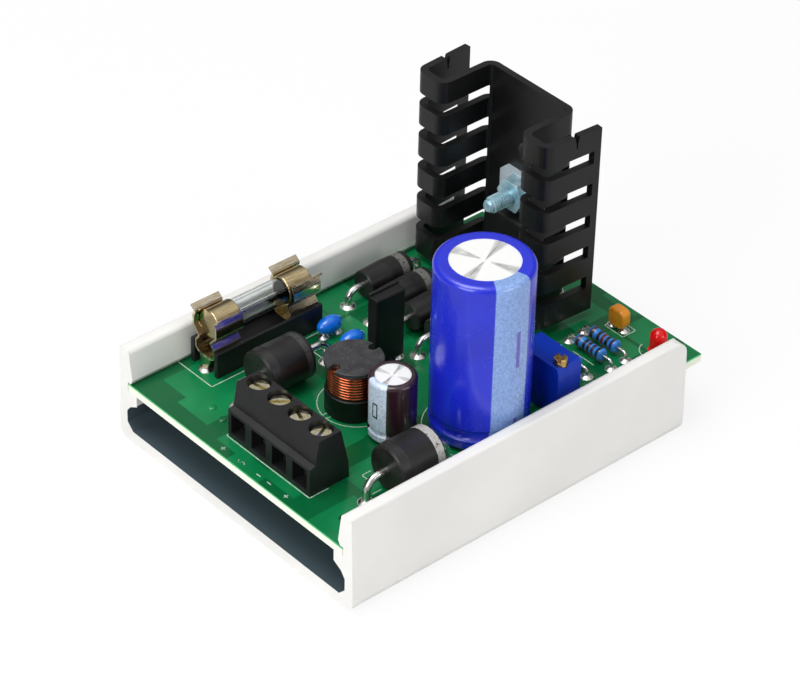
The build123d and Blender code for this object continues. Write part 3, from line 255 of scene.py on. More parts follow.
# %% Drawn metal
drawn_metal, given, result = start_group(
    "Drawn metal",
    (
        ("Colour", COLOUR, GREY),
        ("Shade", COLOUR, GREY),
        ("Streaks", VECTOR, (300.0, 3000.0, 3000.0)),
        ("Smoothest", NUMBER, 0.15),
        ("Roughest", NUMBER, 0.35),
    ),
    FINISH_OUTPUTS,
)
place = object_place(drawn_metal)
stretched = add_node(drawn_metal, "ShaderNodeMapping", Vector=place, Scale=given["Streaks"]).outputs[0]
streaks = noise(drawn_metal, stretched, 1.0, 4.0)
patches = noise(drawn_metal, place, 600.0)
streak_share = fade(drawn_metal, streaks, NOISE_LOW, NOISE_HIGH)
shade_share = reckon(drawn_metal, "MULTIPLY", streak_share, patches)
roughness = fade(drawn_metal, streak_share, 0.0, 1.0, given["Smoothest"], given["Roughest"])
shaded = mix_colours(drawn_metal, shade_share, given["Colour"], given["Shade"])
feed_by_name(drawn_metal, result, {"Colour": shaded, "Roughness": roughness, "Height": streaks})

# %% Band mask
band_mask, given, result = start_group(
    "Band",
    (
        ("Value", NUMBER, 0.0),
        ("Middle", NUMBER, 0.0),
        ("Half Width", NUMBER, 0.1),
        ("Softness", NUMBER, 0.01),
    ),
    (("Mask", NUMBER),),
)
distance = reckon(band_mask, "SUBTRACT", given["Value"], given["Middle"])
distance = reckon(band_mask, "ABSOLUTE", distance)
inside = reckon(band_mask, "SUBTRACT", given["Half Width"], distance)
soft = reckon(band_mask, "DIVIDE", inside, given["Softness"])
soft = reckon(band_mask, "ADD", soft, 0.5)
clamped = add_node(band_mask, "ShaderNodeClamp", Value=soft)
feed_by_name(band_mask, result, {"Mask": clamped.outputs[0]})
print("groups:", [group.name for group in bpy.data.node_groups])

# %% [markdown]
# ## Finishes from the groups
# A finish is a Principled shader whose colour, roughness and bump come from one of the groups. A
# finish with rings or stripes starts in the same way, then blends more colours into its base colour.

# %% Using the groups


def use_group(tree, group, **inputs):
    """Place a group in a material and fill its inputs."""
    node = tree.nodes.new("ShaderNodeGroup")
    node.node_tree = group
    feed_by_name(tree, node, inputs)
    return node.outputs


def band(tree, value, middle, half_width, softness):
    """A soft mask for the values within half a width of a middle."""
    return use_group(
        tree, band_mask, Value=value, Middle=middle, Half_Width=half_width, Softness=softness
    )["Mask"]


def start_material(name, **settings):
    """Start a node material whose Principled shader has some plain settings."""
    material = bpy.data.materials.new(name)
    material.use_nodes = True
    tree = material.node_tree
    shader = tree.nodes["Principled BSDF"]
    feed_by_name(tree, shader, settings)
    return material, tree, shader


def link_finish(tree, shader, finish, bump, depth):
    """Wire a group's colour, roughness and height into the shader, with depth in millimetres."""
    feed_by_name(tree, shader, {"Base Color": finish["Colour"], "Roughness": finish["Roughness"]})
    relief = add_node(
        tree, "ShaderNodeBump", Strength=bump, Distance=depth * MM, Height=finish["Height"]
    )
    feed_by_name(tree, shader, {"Normal": relief.outputs[0]})


# %% Plastic, paint and metal


def start_moulded(
    name, colour, clouded, smoothest, roughest, bump=0.2, grain=4000.0, clouds=150.0, **settings
):
    """Start a plastic or painted finish. Give its tree, shader and colour for more to be blended in."""
    material, tree, shader = start_material(name, **settings)
    finish = use_group(
        tree, moulded_grain, Colour=colour, Clouded=clouded, Smoothest=smoothest,
        Roughest=roughest, Grain_Scale=grain, Cloud_Scale=clouds,
    )
    link_finish(tree, shader, finish, bump, depth=0.02)
    return material, tree, shader, finish["Colour"]


def moulded(name, *looks, **settings):
    """A plastic or painted finish with nothing blended in."""
    return start_moulded(name, *looks, **settings)[0]


def drawn(name, colour, shade, smoothest, roughest, streaks, bump=0.1, **settings):
    """A metal finish from the drawn metal group."""
    material, tree, shader = start_material(name, Metallic=1.0, **settings)
    finish = use_group(
        tree, drawn_metal, Colour=colour, Shade=shade, Smoothest=smoothest,
        Roughest=roughest, Streaks=streaks,
    )
    link_finish(tree, shader, finish, bump, depth=0.01)
    return material


def paint(material, slot, *names):
    """Give solids their finish. Each solid keeps its shape and place."""
    for name in names:
        for holder in solids[name].material_slots:
            holder.material = material
    print(material.name, "is on", ", ".join(names))


def four(name):
    """The names of four alike solids."""
    return [f"{name}_{number}" for number in range(1, 5)]


# %% [markdown]
# ## Floor and light
# The photograph has a white ground. The floor is white where the camera or glass looks at it, and
# keeps a share of plain diffuse paint, which takes the shadow. A mirror sees a dimmer floor, because
# the photograph's black parts stay deep black. The world is done in the same way: mirrors see it
# dark near the horizon and white overhead, as in a studio with lamps above.
# Two large soft lamps and one low fill light the object at a plain level.

# %% Floor
white = (1, 1, 1, 1)
floor_half_width = 3.0
glow_share = 0.85
mirrored_glow = 0.45
floor_colour = (0.85, 0.85, 0.85, 1.0)
floor_shape = bmesh.new()
bmesh.ops.create_grid(floor_shape, x_segments=1, y_segments=1, size=floor_half_width)
floor_mesh = bpy.data.meshes.new("floor")
floor_shape.to_mesh(floor_mesh)
floor_shape.free()
floor = bpy.data.objects.new("floor", floor_mesh)
scene.collection.objects.link(floor)
floor_paint, tree, shader = start_material("floor_paint", Roughness=0.9, Base_Color=floor_colour)
path = tree.nodes.new("ShaderNodeLightPath").outputs
seen = reckon(tree, "MAXIMUM", path["Is Camera Ray"], path["Is Glossy Ray"])
seen = reckon(tree, "MAXIMUM", seen, path["Is Transmission Ray"])
white_share = reckon(tree, "MULTIPLY", seen, glow_share)
dimmed = fade(tree, path["Is Glossy Ray"], 0.0, 1.0, 1.0, mirrored_glow)
glow = add_node(tree, "ShaderNodeEmission", Color=white, Strength=dimmed)
blend = add_node(tree, "ShaderNodeMixShader", Fac=white_share)
tree.links.new(shader.outputs[0], blend.inputs[1])
tree.links.new(glow.outputs[0], blend.inputs[2])
tree.links.new(blend.outputs[0], tree.nodes["Material Output"].inputs["Surface"])
floor_mesh.materials.append(floor_paint)
print("floor in m:", 2 * floor_half_width)

# %% World
room_level = 0.42
mirrored_horizon = 0.14
mirrored_overhead = 1.0
dark_below, bright_above = 0.45, 0.95
world = bpy.data.worlds.new("studio")
scene.world = world
world.use_nodes = True
tree = world.node_tree
background = tree.nodes["Background"]
direction = add_node(tree, "ShaderNodeTexCoord").outputs["Generated"]
upward = axes_of(tree, direction)["Z"]
mirrored = fade(tree, upward, dark_below, bright_above, mirrored_horizon, mirrored_overhead)
path = tree.nodes.new("ShaderNodeLightPath").outputs
plain = reckon(tree, "MAXIMUM", path["Is Camera Ray"], path["Is Transmission Ray"])
level = fade(tree, path["Is Glossy Ray"], 0.0, 1.0, room_level, mirrored)
level = fade(tree, plain, 0.0, 1.0, level, 1.0)
feed_by_name(tree, background, {"Color": white, "Strength": level})
print("world level on matt surfaces:", room_level)

# %% Lamps


def soft_lamp(name, place, size, watts):
    """Hang a square area lamp that faces the object."""
    lamp_data = bpy.data.lights.new(name, "AREA")
    lamp_data.size = size
    lamp_data.energy = watts
    lamp = bpy.data.objects.new(name, lamp_data)
    lamp.location = place
    lamp.rotation_euler = (object_middle - lamp.location).to_track_quat("-Z", "Y").to_euler()
    scene.collection.objects.link(lamp)


soft_lamp("overhead", (-0.15, 0.1, 0.65), size=0.4, watts=2.7)
soft_lamp("left", (-0.6, -0.1, 0.35), size=0.4, watts=2.2)
soft_lamp("near", (0.15, -0.6, 0.25), size=0.35, watts=1.0)
print("lamps:", [light.name for light in bpy.data.lights])

# %% [markdown]
# ## Rounded copies
# A moulding or a stamped sheet never has a perfectly sharp edge: the tiny radius catches the light.
# A solid comes as loose triangles, so a copy is merged into one skin, its flat faces are joined
# again, and a Bevel modifier rounds the edges. The copy then stands for the solid.

# %% Piece helpers
SMOOTH_BELOW = math.radians(35)


def add_piece(mesh, name, material, body="power_supply", stands_for=()):
    """Put a finished mesh into the scene, riding on a body."""
    mesh.materials.clear()
    mesh.materials.append(material)
    piece = bpy.data.objects.new(name, mesh)
    scene.collection.objects.link(piece)
    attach(piece, body)
    if stands_for:
        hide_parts(*stands_for)
    print("piece", name, "faces:", len(mesh.polygons))
    return piece


def mesh_from(shape, name):
    """Turn a bmesh into a mesh that is shaded smooth over its shallow edges."""
    mesh = bpy.data.meshes.new(name)
    shape.to_mesh(mesh)
    shape.free()
    mesh.shade_smooth()
    mesh.set_sharp_from_angle(angle=SMOOTH_BELOW)
    return mesh


# %% Rounded copy helpers
MERGE_WITHIN = 0.002 * MM
FLAT_WITHIN = math.radians(0.5)
ROUND_ABOVE = math.radians(32)


def merged_skin(node):
    """Copy a solid's triangles as one closed skin with its flat faces joined."""
    loose = solids[node].data.copy()
    if "custom_normal" in loose.attributes:
        loose.attributes.remove(loose.attributes["custom_normal"])
    shape = bmesh.new()
    shape.from_mesh(loose)
    bpy.data.meshes.remove(loose)
    bmesh.ops.remove_doubles(shape, verts=shape.verts, dist=MERGE_WITHIN)
    bmesh.ops.dissolve_limit(shape, angle_limit=FLAT_WITHIN, verts=shape.verts, edges=shape.edges)
    return shape


def rounded_copy(node, name, material, radius, body="power_supply"):
    """Stand a copy with rounded edges in for a solid. The radius is in millimetres."""
    piece = add_piece(mesh_from(merged_skin(node), name), name, material, body, (node,))
    edges = piece.modifiers.new("rounded edges", "BEVEL")
    edges.width = radius * MM
    edges.segments = 2
    edges.limit_method = "ANGLE"
    edges.angle_limit = ROUND_ABOVE
    edges.harden_normals = True


# %% [markdown]
# ## Track
# The track is extruded in pale grey vinyl. Its faces are smooth and very faintly clouded. The hollow
# under the board lies in deep shade, so the same material turns one dark slate grey inside that hollow.
# This is painted shade, set by masks on the height, the width and the length.

# %% Track
hollow_middle_height = 5.15 * MM
hollow_half_height = 3.2 * MM
hollow_half_width = 27.75 * MM
hollow_end_inset = 0.05 * MM
track_low, track_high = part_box("track")
vinyl, tree, shader, vinyl_colour = start_moulded(
    "track_vinyl", screen(234, 233, 230), screen(228, 227, 224),
    smoothest=0.34, roughest=0.46, bump=0.08, grain=2500.0, clouds=60.0, IOR=1.5,
)
axes = axes_of(tree, object_place(tree))
in_height = band(tree, axes["Z"], hollow_middle_height, hollow_half_height, softness=0.1 * MM)
in_width = band(tree, axes["Y"], 0.0, hollow_half_width, softness=0.1 * MM)
track_middle = (track_low.x + track_high.x) / 2
hollow_half_length = (track_high.x - track_low.x) / 2 - hollow_end_inset
in_length = band(tree, axes["X"], track_middle, hollow_half_length, softness=0.02 * MM)
# The dark slate grey inside the hollow is painted shade.
painted_hollow_shade = reckon(tree, "MULTIPLY", in_height, in_width)
painted_hollow_shade = reckon(tree, "MULTIPLY", painted_hollow_shade, in_length)
vinyl_colour = mix_colours(tree, painted_hollow_shade, vinyl_colour, screen(70, 84, 92))
tree.links.new(vinyl_colour, shader.inputs["Base Color"])
paint(vinyl, "track_plastic", "track")
print("track in mm:", [round(v / MM, 1) for v in track_high - track_low])

# %% [markdown]
# ## Circuit board
# The board is glass fibre with a green solder mask on both faces. Where there is copper under the mask,
# its green is another shade, in broad square patches. The sawn edge shows the pale fibre, with a bright
# green line where the mask ends. That line's brightness is a painted highlight on the edge. The
# material finds the edge by its distance from the board's outline.

# %% Solder mask
laminate, tree, shader, mask_colour = start_moulded(
    "solder_mask", screen(10, 112, 64), screen(20, 130, 76),
    smoothest=0.14, roughest=0.26, bump=0.1, grain=3000.0, clouds=90.0, IOR=1.42,
)
spot = object_place(tree)
axes = axes_of(tree, spot)
patches = add_node(tree, "ShaderNodeTexVoronoi", Vector=spot, Scale=110.0, Randomness=0.8)
patches.distance = "CHEBYCHEV"
in_patch = fade(tree, patches.outputs["Distance"], 0.42, 0.44)
mask_colour = mix_colours(tree, in_patch, mask_colour, screen(6, 92, 50))

# %% Sawn edge
edge_depth = 0.03 * MM
top_edge_highlight_width = 0.28 * MM
inner_length = band(tree, axes["X"], 0.0, board_high.x - edge_depth, softness=0.02 * MM)
inner_width = band(tree, axes["Y"], 0.0, board_high.y - edge_depth, softness=0.02 * MM)
masked = reckon(tree, "MULTIPLY", inner_length, inner_width)
layers = add_node(tree, "ShaderNodeMapping", Vector=spot, Scale=(400.0, 400.0, 6000.0)).outputs[0]
fibre_share = noise(tree, layers, 1.0, 3.0)
edge_colour = mix_colours(tree, fibre_share, screen(252, 254, 244), screen(222, 230, 206))
# The bright green line on top of the sawn edge is where the mask ends, with a painted highlight.
top_edge_highlight = band(tree, axes["Z"], board_high.z, top_edge_highlight_width, softness=0.06 * MM)
edge_colour = mix_colours(tree, top_edge_highlight, edge_colour, screen(84, 190, 120))
board_colour = mix_colours(tree, masked, edge_colour, mask_colour)
tree.links.new(board_colour, shader.inputs["Base Color"])
paint(laminate, "board_laminate", "circuit_board")

# %% [markdown]
# ## Printed lines
# The white print on the board is thin ink: outlines round the larger parts and plain signs by the
# terminals. Each line is a flat strip just over the mask, and circles are spun. Lettering is left
# off, and only plus, minus and wave signs are kept.

# %% Printed line helpers
ink_middle_height = 0.02
ink_thickness = 0.02
ink_width = 0.16
arc_step_degrees = 7.5
ink = bmesh.new()


def print_strip(start, end):
    """Lay one straight strip of ink between two places on the board."""
    first, last = on_board(*start, ink_middle_height), on_board(*end, ink_middle_height)
    along = last - first
    turn = Matrix.Rotation(math.atan2(along.y, along.x), 4, "Z")
    size = Matrix.Diagonal((along.length + ink_width * MM, ink_width * MM, ink_thickness * MM, 1.0))
    bmesh.ops.create_cube(ink, size=1.0, matrix=Matrix.Translation((first + last) / 2) @ turn @ size)


def print_path(*places):
    """Lay strips from each place to the next."""
    for start, end in zip(places, places[1:]):
        print_strip(start, end)


def print_ring(x, y, radius, turn=360, first=0):
    """Spin a thin ring or arc of ink. An arc keeps its section's face, which closes its two ends."""
    middle = on_board(x, y, ink_middle_height)
    outward = Vector((math.cos(math.radians(first)), math.sin(math.radians(first)), 0))
    half_width, half_height = ink_width / 2, ink_thickness / 2
    corners = []
    for across, up in ((-1, -1), (1, -1), (1, 1), (-1, 1)):
        reach = outward * (radius + across * half_width) * MM
        corners.append(ink.verts.new(middle + reach + Vector((0, 0, up * half_height * MM))))
    outline = ink.faces.new(corners)
    section = [outline, *outline.edges, *corners]
    whole = turn >= 360
    if whole:
        section.remove(outline)
        bmesh.ops.delete(ink, geom=[outline], context="FACES_ONLY")
    bmesh.ops.spin(
        ink, geom=section, cent=middle, axis=(0, 0, 1), angle=math.radians(turn),
        steps=max(8, int(turn / arc_step_degrees)), use_merge=whole, use_duplicate=False,
    )


# %% Printed signs


def print_plus(x, y, reach):
    """A plus sign."""
    print_strip((x - reach, y), (x + reach, y))
    print_strip((x, y - reach), (x, y + reach))


def print_minus(x, y, reach):
    """A minus sign, read from the terminals' side."""
    print_strip((x, y - reach), (x, y + reach))


def print_wave(x, y):
    """A small wave sign for alternating current, of eight short strips."""
    swing, strip_reach = 0.28, 0.17
    places = []
    for step in range(9):
        places.append((x + swing * math.sin(step * math.pi / 4), y + (step - 4) * strip_reach))
    print_path(*places)


# %% Printed outlines: the terminal block, the diodes, the fuse, the round parts and the far row
print_path((7.6, 12.5), (3.8, 12.5), (3.8, 33.2), (5.2, 33.2))
print_path((20.0, 44.6), (9.9, 44.6), (9.9, 53.4))
print_path((12.2, 7.0), (13.8, 7.0))
print_path((13.85, 9.4), (13.85, 11.6), (15.6, 11.6))
print_path((14.1, 34.5), (14.1, 43.2), (28.8, 43.2), (28.8, 34.5))
print_path((30.3, 45.0), (33.4, 45.0))
print_path((29.7, 43.0), (32.2, 43.0))
print_ring(25.3, 26.4, radius=6.4)
print_ring(19.5, 26.8, radius=0.6)
print_ring(36.5, 9.7, radius=8.9)
print_path((71.2, 11.6), (74.2, 11.6), (74.2, 16.0), (71.2, 16.0), (71.2, 11.6))
print_ring(72.8, 5.6, radius=2.6, turn=270, first=100)
print_path((62.1, 9.2), (62.1, 14.0))

# %% Signs by the terminals
sign_column = 1.3
print_plus(sign_column, 30.9, 0.35)
print_wave(sign_column, 26.3)
print_minus(sign_column, 22.0, 0.4)
print_minus(sign_column, 19.4, 0.4)
print_plus(sign_column, 15.2, 0.35)
bmesh.ops.recalc_face_normals(ink, faces=ink.faces)
white_ink = moulded(
    "white_ink", screen(206, 222, 208), screen(164, 196, 172),
    smoothest=0.5, roughest=0.65, bump=0.2, grain=5000.0, clouds=1500.0,
)
add_piece(mesh_from(ink, "board_print"), "board_print", white_ink)

# %% [markdown]
# ## Covered vias
# Two small vias near the rear thick diode are covered by the mask and stand up as low green domes.
# Each is a squashed sphere that sinks halfway into the board.

# %% Covered vias
dome_radius = 0.75
dome_height = 0.3
squash = Matrix.Diagonal((dome_radius, dome_radius, dome_height, 1.0))
domes = bmesh.new()
for dome_x, dome_y in ((6.5, 40.3), (5.8, 36.8)):
    dome_place = Matrix.Translation(on_board(dome_x, dome_y)) @ squash
    bmesh.ops.create_uvsphere(domes, u_segments=24, v_segments=12, radius=1.0 * MM, matrix=dome_place)
add_piece(mesh_from(domes, "covered_vias"), "covered_vias", laminate)

# %% [markdown]
# ## Pads
# Every lead ends in a tinned ring on the board. The solid that holds all the solder has one small
# cone for each lead, so its loose parts tell where the rings go. Each pad is a thin disc under its
# cone, a little wider than it and a little proud of the mask, so that its rim shows as a ring.

# %% Where the solder is
solder_skin = merged_skin("solder_joints")
pad_places = []
unseen = set(solder_skin.verts)
while unseen:
    frontier = [unseen.pop()]
    cone = list(frontier)
    while frontier:
        for edge in frontier.pop().link_edges:
            for vertex in edge.verts:
                if vertex in unseen:
                    unseen.remove(vertex)
                    frontier.append(vertex)
                    cone.append(vertex)
    low = Vector([min(v.co[axis] for v in cone) for axis in range(3)])
    high = Vector([max(v.co[axis] for v in cone) for axis in range(3)])
    if high.z > board_high.z + 0.1 * MM:
        pad_places.append(((low + high) / 2, max(high.x - low.x, high.y - low.y) / 2))
solder_skin.free()
print("pads:", len(pad_places))

# %% Pads
pad_foot_margin = 0.1 * MM
pad_top_margin = 0.07 * MM
pad_thickness = 0.06 * MM
pad_middle_height = board_high.z + 0.01 * MM
pads = bmesh.new()
for middle, reach in pad_places:
    bmesh.ops.create_cone(
        pads, cap_ends=True, segments=32, radius1=reach + pad_foot_margin,
        radius2=reach + pad_top_margin, depth=pad_thickness,
        matrix=Matrix.Translation((middle.x, middle.y, pad_middle_height)),
    )

# %% [markdown]
# ## Tin
# Solder and tinned wire are soft and bright, with faint waves where they froze. One drawn metal
# finish does for the wires, and a cloudier one for the solder and the pads.

# %% Tin finishes
bright_tin = drawn(
    "bright_tin", screen(226, 226, 222), screen(176, 178, 176),
    smoothest=0.16, roughest=0.34, streaks=(900.0, 900.0, 300.0), bump=0.15,
)
solder_tin = drawn(
    "solder_tin", screen(240, 240, 234), screen(186, 190, 184),
    smoothest=0.18, roughest=0.4, streaks=(1500.0, 1500.0, 1500.0), bump=0.5,
)
paint(solder_tin, "tin_solder", "solder_joints")
paint(
    bright_tin, "tin_solder", "surge_diode_leads", "rectifier_leads", "upright_device_leads",
    "inductor_leads", "main_capacitor_leads", "small_capacitor_leads", "ceramic_capacitor_leads",
    "trimmer_pins", "resistor_leads", "led_leads", "fuse_wire",
)
add_piece(mesh_from(pads, "solder_pads"), "solder_pads", solder_tin)

# %% [markdown]
# ## Terminal block
# The block is moulded in black nylon with a satin skin. Its four wells hold bright yellow-plated
# screws, and the clamps and contacts sit inside. A rounded copy of the housing gives its ribs and
# wells the thin bright edges that the photograph shows.

# %% Terminal block
black_nylon = moulded(
    "black_nylon", screen(20, 20, 22), screen(28, 28, 30),
    smoothest=0.36, roughest=0.5, bump=0.25, grain=3500.0, clouds=200.0, IOR=1.42,
)
rounded_copy("terminal_housing", "terminal_block", black_nylon, radius=0.16)
yellow_plate = drawn(
    "yellow_plate", screen(250, 244, 214), screen(196, 178, 120),
    smoothest=0.06, roughest=0.18, streaks=(1400.0, 1400.0, 800.0), bump=0.9,
)
paint(yellow_plate, "screw_plate", *four("terminal_screw"))
clamp_zinc = drawn(
    "clamp_zinc", screen(196, 200, 204), screen(140, 146, 150),
    smoothest=0.25, roughest=0.4, streaks=(900.0, 900.0, 2500.0),
)
paint(clamp_zinc, "clamp_plate", *four("terminal_clamp"))
contact_tin = drawn(
    "contact_tin", screen(214, 190, 130), screen(160, 132, 84),
    smoothest=0.22, roughest=0.4, streaks=(600.0, 2500.0, 2500.0),
)
paint(contact_tin, "contact_brass", "terminal_contacts")

# %% [markdown]
# ## Fuse holder and fuse
# The base is black moulding, the clips are bent from nickel-plated spring sheet, and the fuse has
# nickel caps on a clear tube. The clips are rounded copies, because a stamped edge shows as a thin
# line of light. The tube is real glass with a plain transmission.

# %% Fuse holder and fuse
rounded_copy("fuse_base", "fuse_holder_base", black_nylon, radius=0.18)
nickel = drawn(
    "spring_nickel", screen(222, 210, 184), screen(156, 134, 96),
    smoothest=0.1, roughest=0.24, streaks=(500.0, 3000.0, 500.0),
)
for number in (1, 2):
    rounded_copy(f"fuse_clip_{number}", f"fuse_spring_{number}", nickel, radius=0.09)
cap_nickel = drawn(
    "cap_nickel", screen(204, 186, 146), screen(146, 120, 80),
    smoothest=0.1, roughest=0.22, streaks=(400.0, 3000.0, 3000.0),
)
paint(cap_nickel, "clip_nickel", "fuse_caps")
glass = moulded(
    "fuse_glass_tube", screen(250, 252, 252), screen(240, 246, 246),
    smoothest=0.0, roughest=0.04, bump=0.03, grain=900.0, clouds=200.0,
    IOR=1.5, Transmission_Weight=1.0,
)
paint(glass, "fuse_glass", "fuse_tube")

# %% [markdown]
# ## Diodes and the upright device
# Diodes are moulded in black epoxy, which is matt with a fine sandy grain. A printed ring marks the
# end where current leaves: pale on the thick diode in front, dark grey on the thick one behind and
# a middling grey on the four in the row. The ring is a band along X in the material, because ink
# has no thickness that shows.

# %% Diode finishes


def banded_epoxy(name, node, ring_from_end, ring_half_width, ring_colour):
    """Black epoxy with one worn ring near the far end of a body along X."""
    far_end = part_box(node)[1].x
    material, tree, shader, colour = start_moulded(
        name, screen(22, 21, 21), screen(32, 31, 30),
        smoothest=0.34, roughest=0.5, bump=0.35, grain=4200.0, clouds=350.0, IOR=1.42,
    )
    spot = object_place(tree)
    axes = axes_of(tree, spot)
    ring = band(tree, axes["X"], far_end - ring_from_end * MM, ring_half_width * MM, softness=0.08 * MM)
    kept = fade(tree, noise(tree, spot, 2200.0, 3.0), 0.3, 0.45)
    ring = reckon(tree, "MULTIPLY", ring, kept)
    tree.links.new(mix_colours(tree, ring, colour, ring_colour), shader.inputs["Base Color"])
    return material


front_epoxy = banded_epoxy(
    "front_diode_epoxy", "surge_diode_front", ring_from_end=1.15, ring_half_width=0.75,
    ring_colour=screen(176, 174, 168),
)
rear_epoxy = banded_epoxy(
    "rear_diode_epoxy", "surge_diode_rear", ring_from_end=1.25, ring_half_width=0.55,
    ring_colour=screen(60, 60, 60),
)
row_epoxy = banded_epoxy(
    "row_diode_epoxy", "rectifier_diode_1", ring_from_end=1.7, ring_half_width=0.75,
    ring_colour=screen(104, 104, 100),
)
paint(front_epoxy, "black_moulding", "surge_diode_front")
paint(rear_epoxy, "black_moulding", "surge_diode_rear")
paint(row_epoxy, "black_moulding", *four("rectifier_diode"))

# %% Upright device
device_epoxy = moulded(
    "device_epoxy", screen(12, 12, 13), screen(20, 20, 21),
    smoothest=0.4, roughest=0.56, bump=0.4, grain=3000.0, clouds=400.0, IOR=1.4,
)
rounded_copy("upright_device_body", "upright_device", device_epoxy, radius=0.15)

# %% [markdown]
# ## Drum coil
# The core is pressed ferrite: dark grey, slightly rough, with paler specks on top, and it is near black
# over its lowest 5 mm. The winding is enamelled copper, which is a metal with a clear coat, and it
# glows orange where its turns catch light.

# %% Drum coil
base_height = 5.0 * MM
ferrite, tree, shader, ferrite_colour = start_moulded(
    "pressed_ferrite", screen(44, 44, 46), screen(60, 60, 62),
    smoothest=0.36, roughest=0.55, bump=0.5, grain=2600.0, clouds=500.0, IOR=1.45,
)
spot = object_place(tree)
axes = axes_of(tree, spot)
specks = add_node(tree, "ShaderNodeTexVoronoi", Vector=spot, Scale=1500.0)
speck = fade(tree, specks.outputs["Distance"], 0.2, 0.1)
ferrite_colour = mix_colours(tree, speck, ferrite_colour, screen(96, 96, 94))
core_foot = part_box("inductor_core")[0].z
# Darker towards the foot: the lowest 5 mm of the core is near black.
in_base = band(tree, axes["Z"], core_foot, base_height, softness=0.2 * MM)
ferrite_colour = mix_colours(tree, in_base, ferrite_colour, screen(10, 10, 11))
tree.links.new(ferrite_colour, shader.inputs["Base Color"])
paint(ferrite, "ferrite", "inductor_core")
enamelled_copper = drawn(
    "enamelled_copper", screen(206, 106, 60), screen(128, 50, 26),
    smoothest=0.12, roughest=0.26, streaks=(1500.0, 1500.0, 3500.0),
    Coat_Weight=0.6, Coat_Roughness=0.12,
)
paint(enamelled_copper, "copper_wire", "inductor_winding")

# %% [markdown]
# ## Can capacitors
# A can capacitor is an aluminium cup in a shrunk plastic sleeve, which also covers a ring of the
# top. A pale stripe with minus marks runs down one side. The material works out the angle round
# the can from the Object coordinates, so stripe and marks are bands of angle and height.

# %% Angle round a can


def round_the_can(tree, spot, node, turn):
    """Give the angle round a can's upright axis, from a turn in degrees, and the turned axes."""
    middle = middle_of(node)
    centred = add_node(tree, "ShaderNodeMapping", Vector=spot)
    centred.vector_type = "TEXTURE"
    centred.inputs["Location"].default_value = (middle.x, middle.y, 0)
    centred.inputs["Rotation"].default_value = (0, 0, math.radians(turn))
    axes = axes_of(tree, centred.outputs[0])
    return reckon(tree, "ARCTAN2", axes["Y"], axes["X"]), axes


def bar_mask(tree, angle, up, height, half_height, turn, half_angle):
    """The mask of one upright bar on a sleeve, in millimetres and degrees."""
    tall = band(tree, up, height * MM, half_height * MM, softness=0.05 * MM)
    wide = band(tree, angle, math.radians(turn), math.radians(half_angle), softness=0.02)
    return reckon(tree, "MULTIPLY", tall, wide)


# %% Sleeve material


def sleeve(name, node, body_colour, deep_colour, stripe_colour, mark_colour, turn, half_stripe, marks):
    """A shrunk sleeve with one stripe. Angles are in degrees, mark heights in millimetres.

    A mark is (height, half height, turn from the stripe's middle, half angle, line width), and a
    line width of 0 makes it solid.
    """
    material, tree, shader, colour = start_moulded(
        name, body_colour, deep_colour,
        smoothest=0.22, roughest=0.32, bump=0.05, grain=1500.0, clouds=120.0,
        IOR=1.5, Coat_Weight=0.5, Coat_Roughness=0.08,
    )
    spot = object_place(tree)
    angle, axes = round_the_can(tree, spot, node, turn)
    stripe = band(tree, angle, 0.0, math.radians(half_stripe), softness=0.02)
    speckle = fade(tree, noise(tree, spot, 2600.0, 3.0), 0.42, 0.62)
    darker_stripe = (*[0.72 * share for share in stripe_colour[:3]], 1.0)
    stripe_colour = mix_colours(tree, speckle, stripe_colour, darker_stripe)
    colour = mix_colours(tree, stripe, colour, stripe_colour)
    for height, half_height, mark_turn, half_angle, line_width in marks:
        mark = bar_mask(tree, angle, axes["Z"], height, half_height, mark_turn, half_angle)
        if line_width:
            half_hole, hole_angle = half_height - line_width, half_angle * 0.6
            hole = bar_mask(tree, angle, axes["Z"], height, half_hole, mark_turn, hole_angle)
            mark = reckon(tree, "SUBTRACT", mark, hole)
        colour = mix_colours(tree, mark, colour, mark_colour)
    tree.links.new(colour, shader.inputs["Base Color"])
    return material


# %% Sleeves
maroon = screen(46, 22, 32)
blue_sleeve = sleeve(
    "blue_sleeve", "main_capacitor_sleeve", screen(26, 42, 204), screen(22, 34, 186),
    screen(136, 168, 226), screen(100, 90, 180), turn=-96.9, half_stripe=23.2,
    marks=((31.4, 3.5, 7.5, 2.6, 0), (14.4, 3.5, 7.5, 2.6, 0)),
)
paint(blue_sleeve, "blue_sleeve", "main_capacitor_sleeve")
maroon_sleeve = sleeve(
    "maroon_sleeve", "small_capacitor_sleeve", maroon, screen(38, 16, 26),
    screen(206, 222, 242), maroon, turn=-176.0, half_stripe=30.0,
    marks=((18.4, 1.45, 0.0, 8.0, 0.3),),
)
paint(maroon_sleeve, "maroon_sleeve", "small_capacitor_sleeve")

# %% [markdown]
# The top of the can is bare aluminium, pressed with a cross so that it can open safely. The press
# leaves the fields slightly tilted, so they shine differently. Here that shine is a painted reflection:
# a change of colour with the angle round the middle, which makes four grey wedges.

# %% Can tops
painted_shine_turn = 20


def spun_aluminium(name, node):
    """Bright aluminium with four grey wedges of painted reflection round the middle."""
    material, tree, shader = start_material(name, Metallic=0.3)
    spot = object_place(tree)
    angle, _ = round_the_can(tree, spot, node, painted_shine_turn)
    # The four grey wedges are painted reflection of the tilted fields.
    wave = reckon(tree, "COSINE", reckon(tree, "MULTIPLY", angle, 4.0))
    smears = noise(tree, spot, 700.0, 4.0)
    painted_shine_wedge = reckon(tree, "MULTIPLY", fade(tree, wave, 0.6, 0.9), smears)
    metal_colour = mix_colours(tree, painted_shine_wedge, screen(252, 252, 250), screen(120, 120, 118))
    roughness = fade(tree, smears, 0.0, 1.0, 0.3, 0.5)
    feed_by_name(tree, shader, {"Base Color": metal_colour, "Roughness": roughness})
    return material


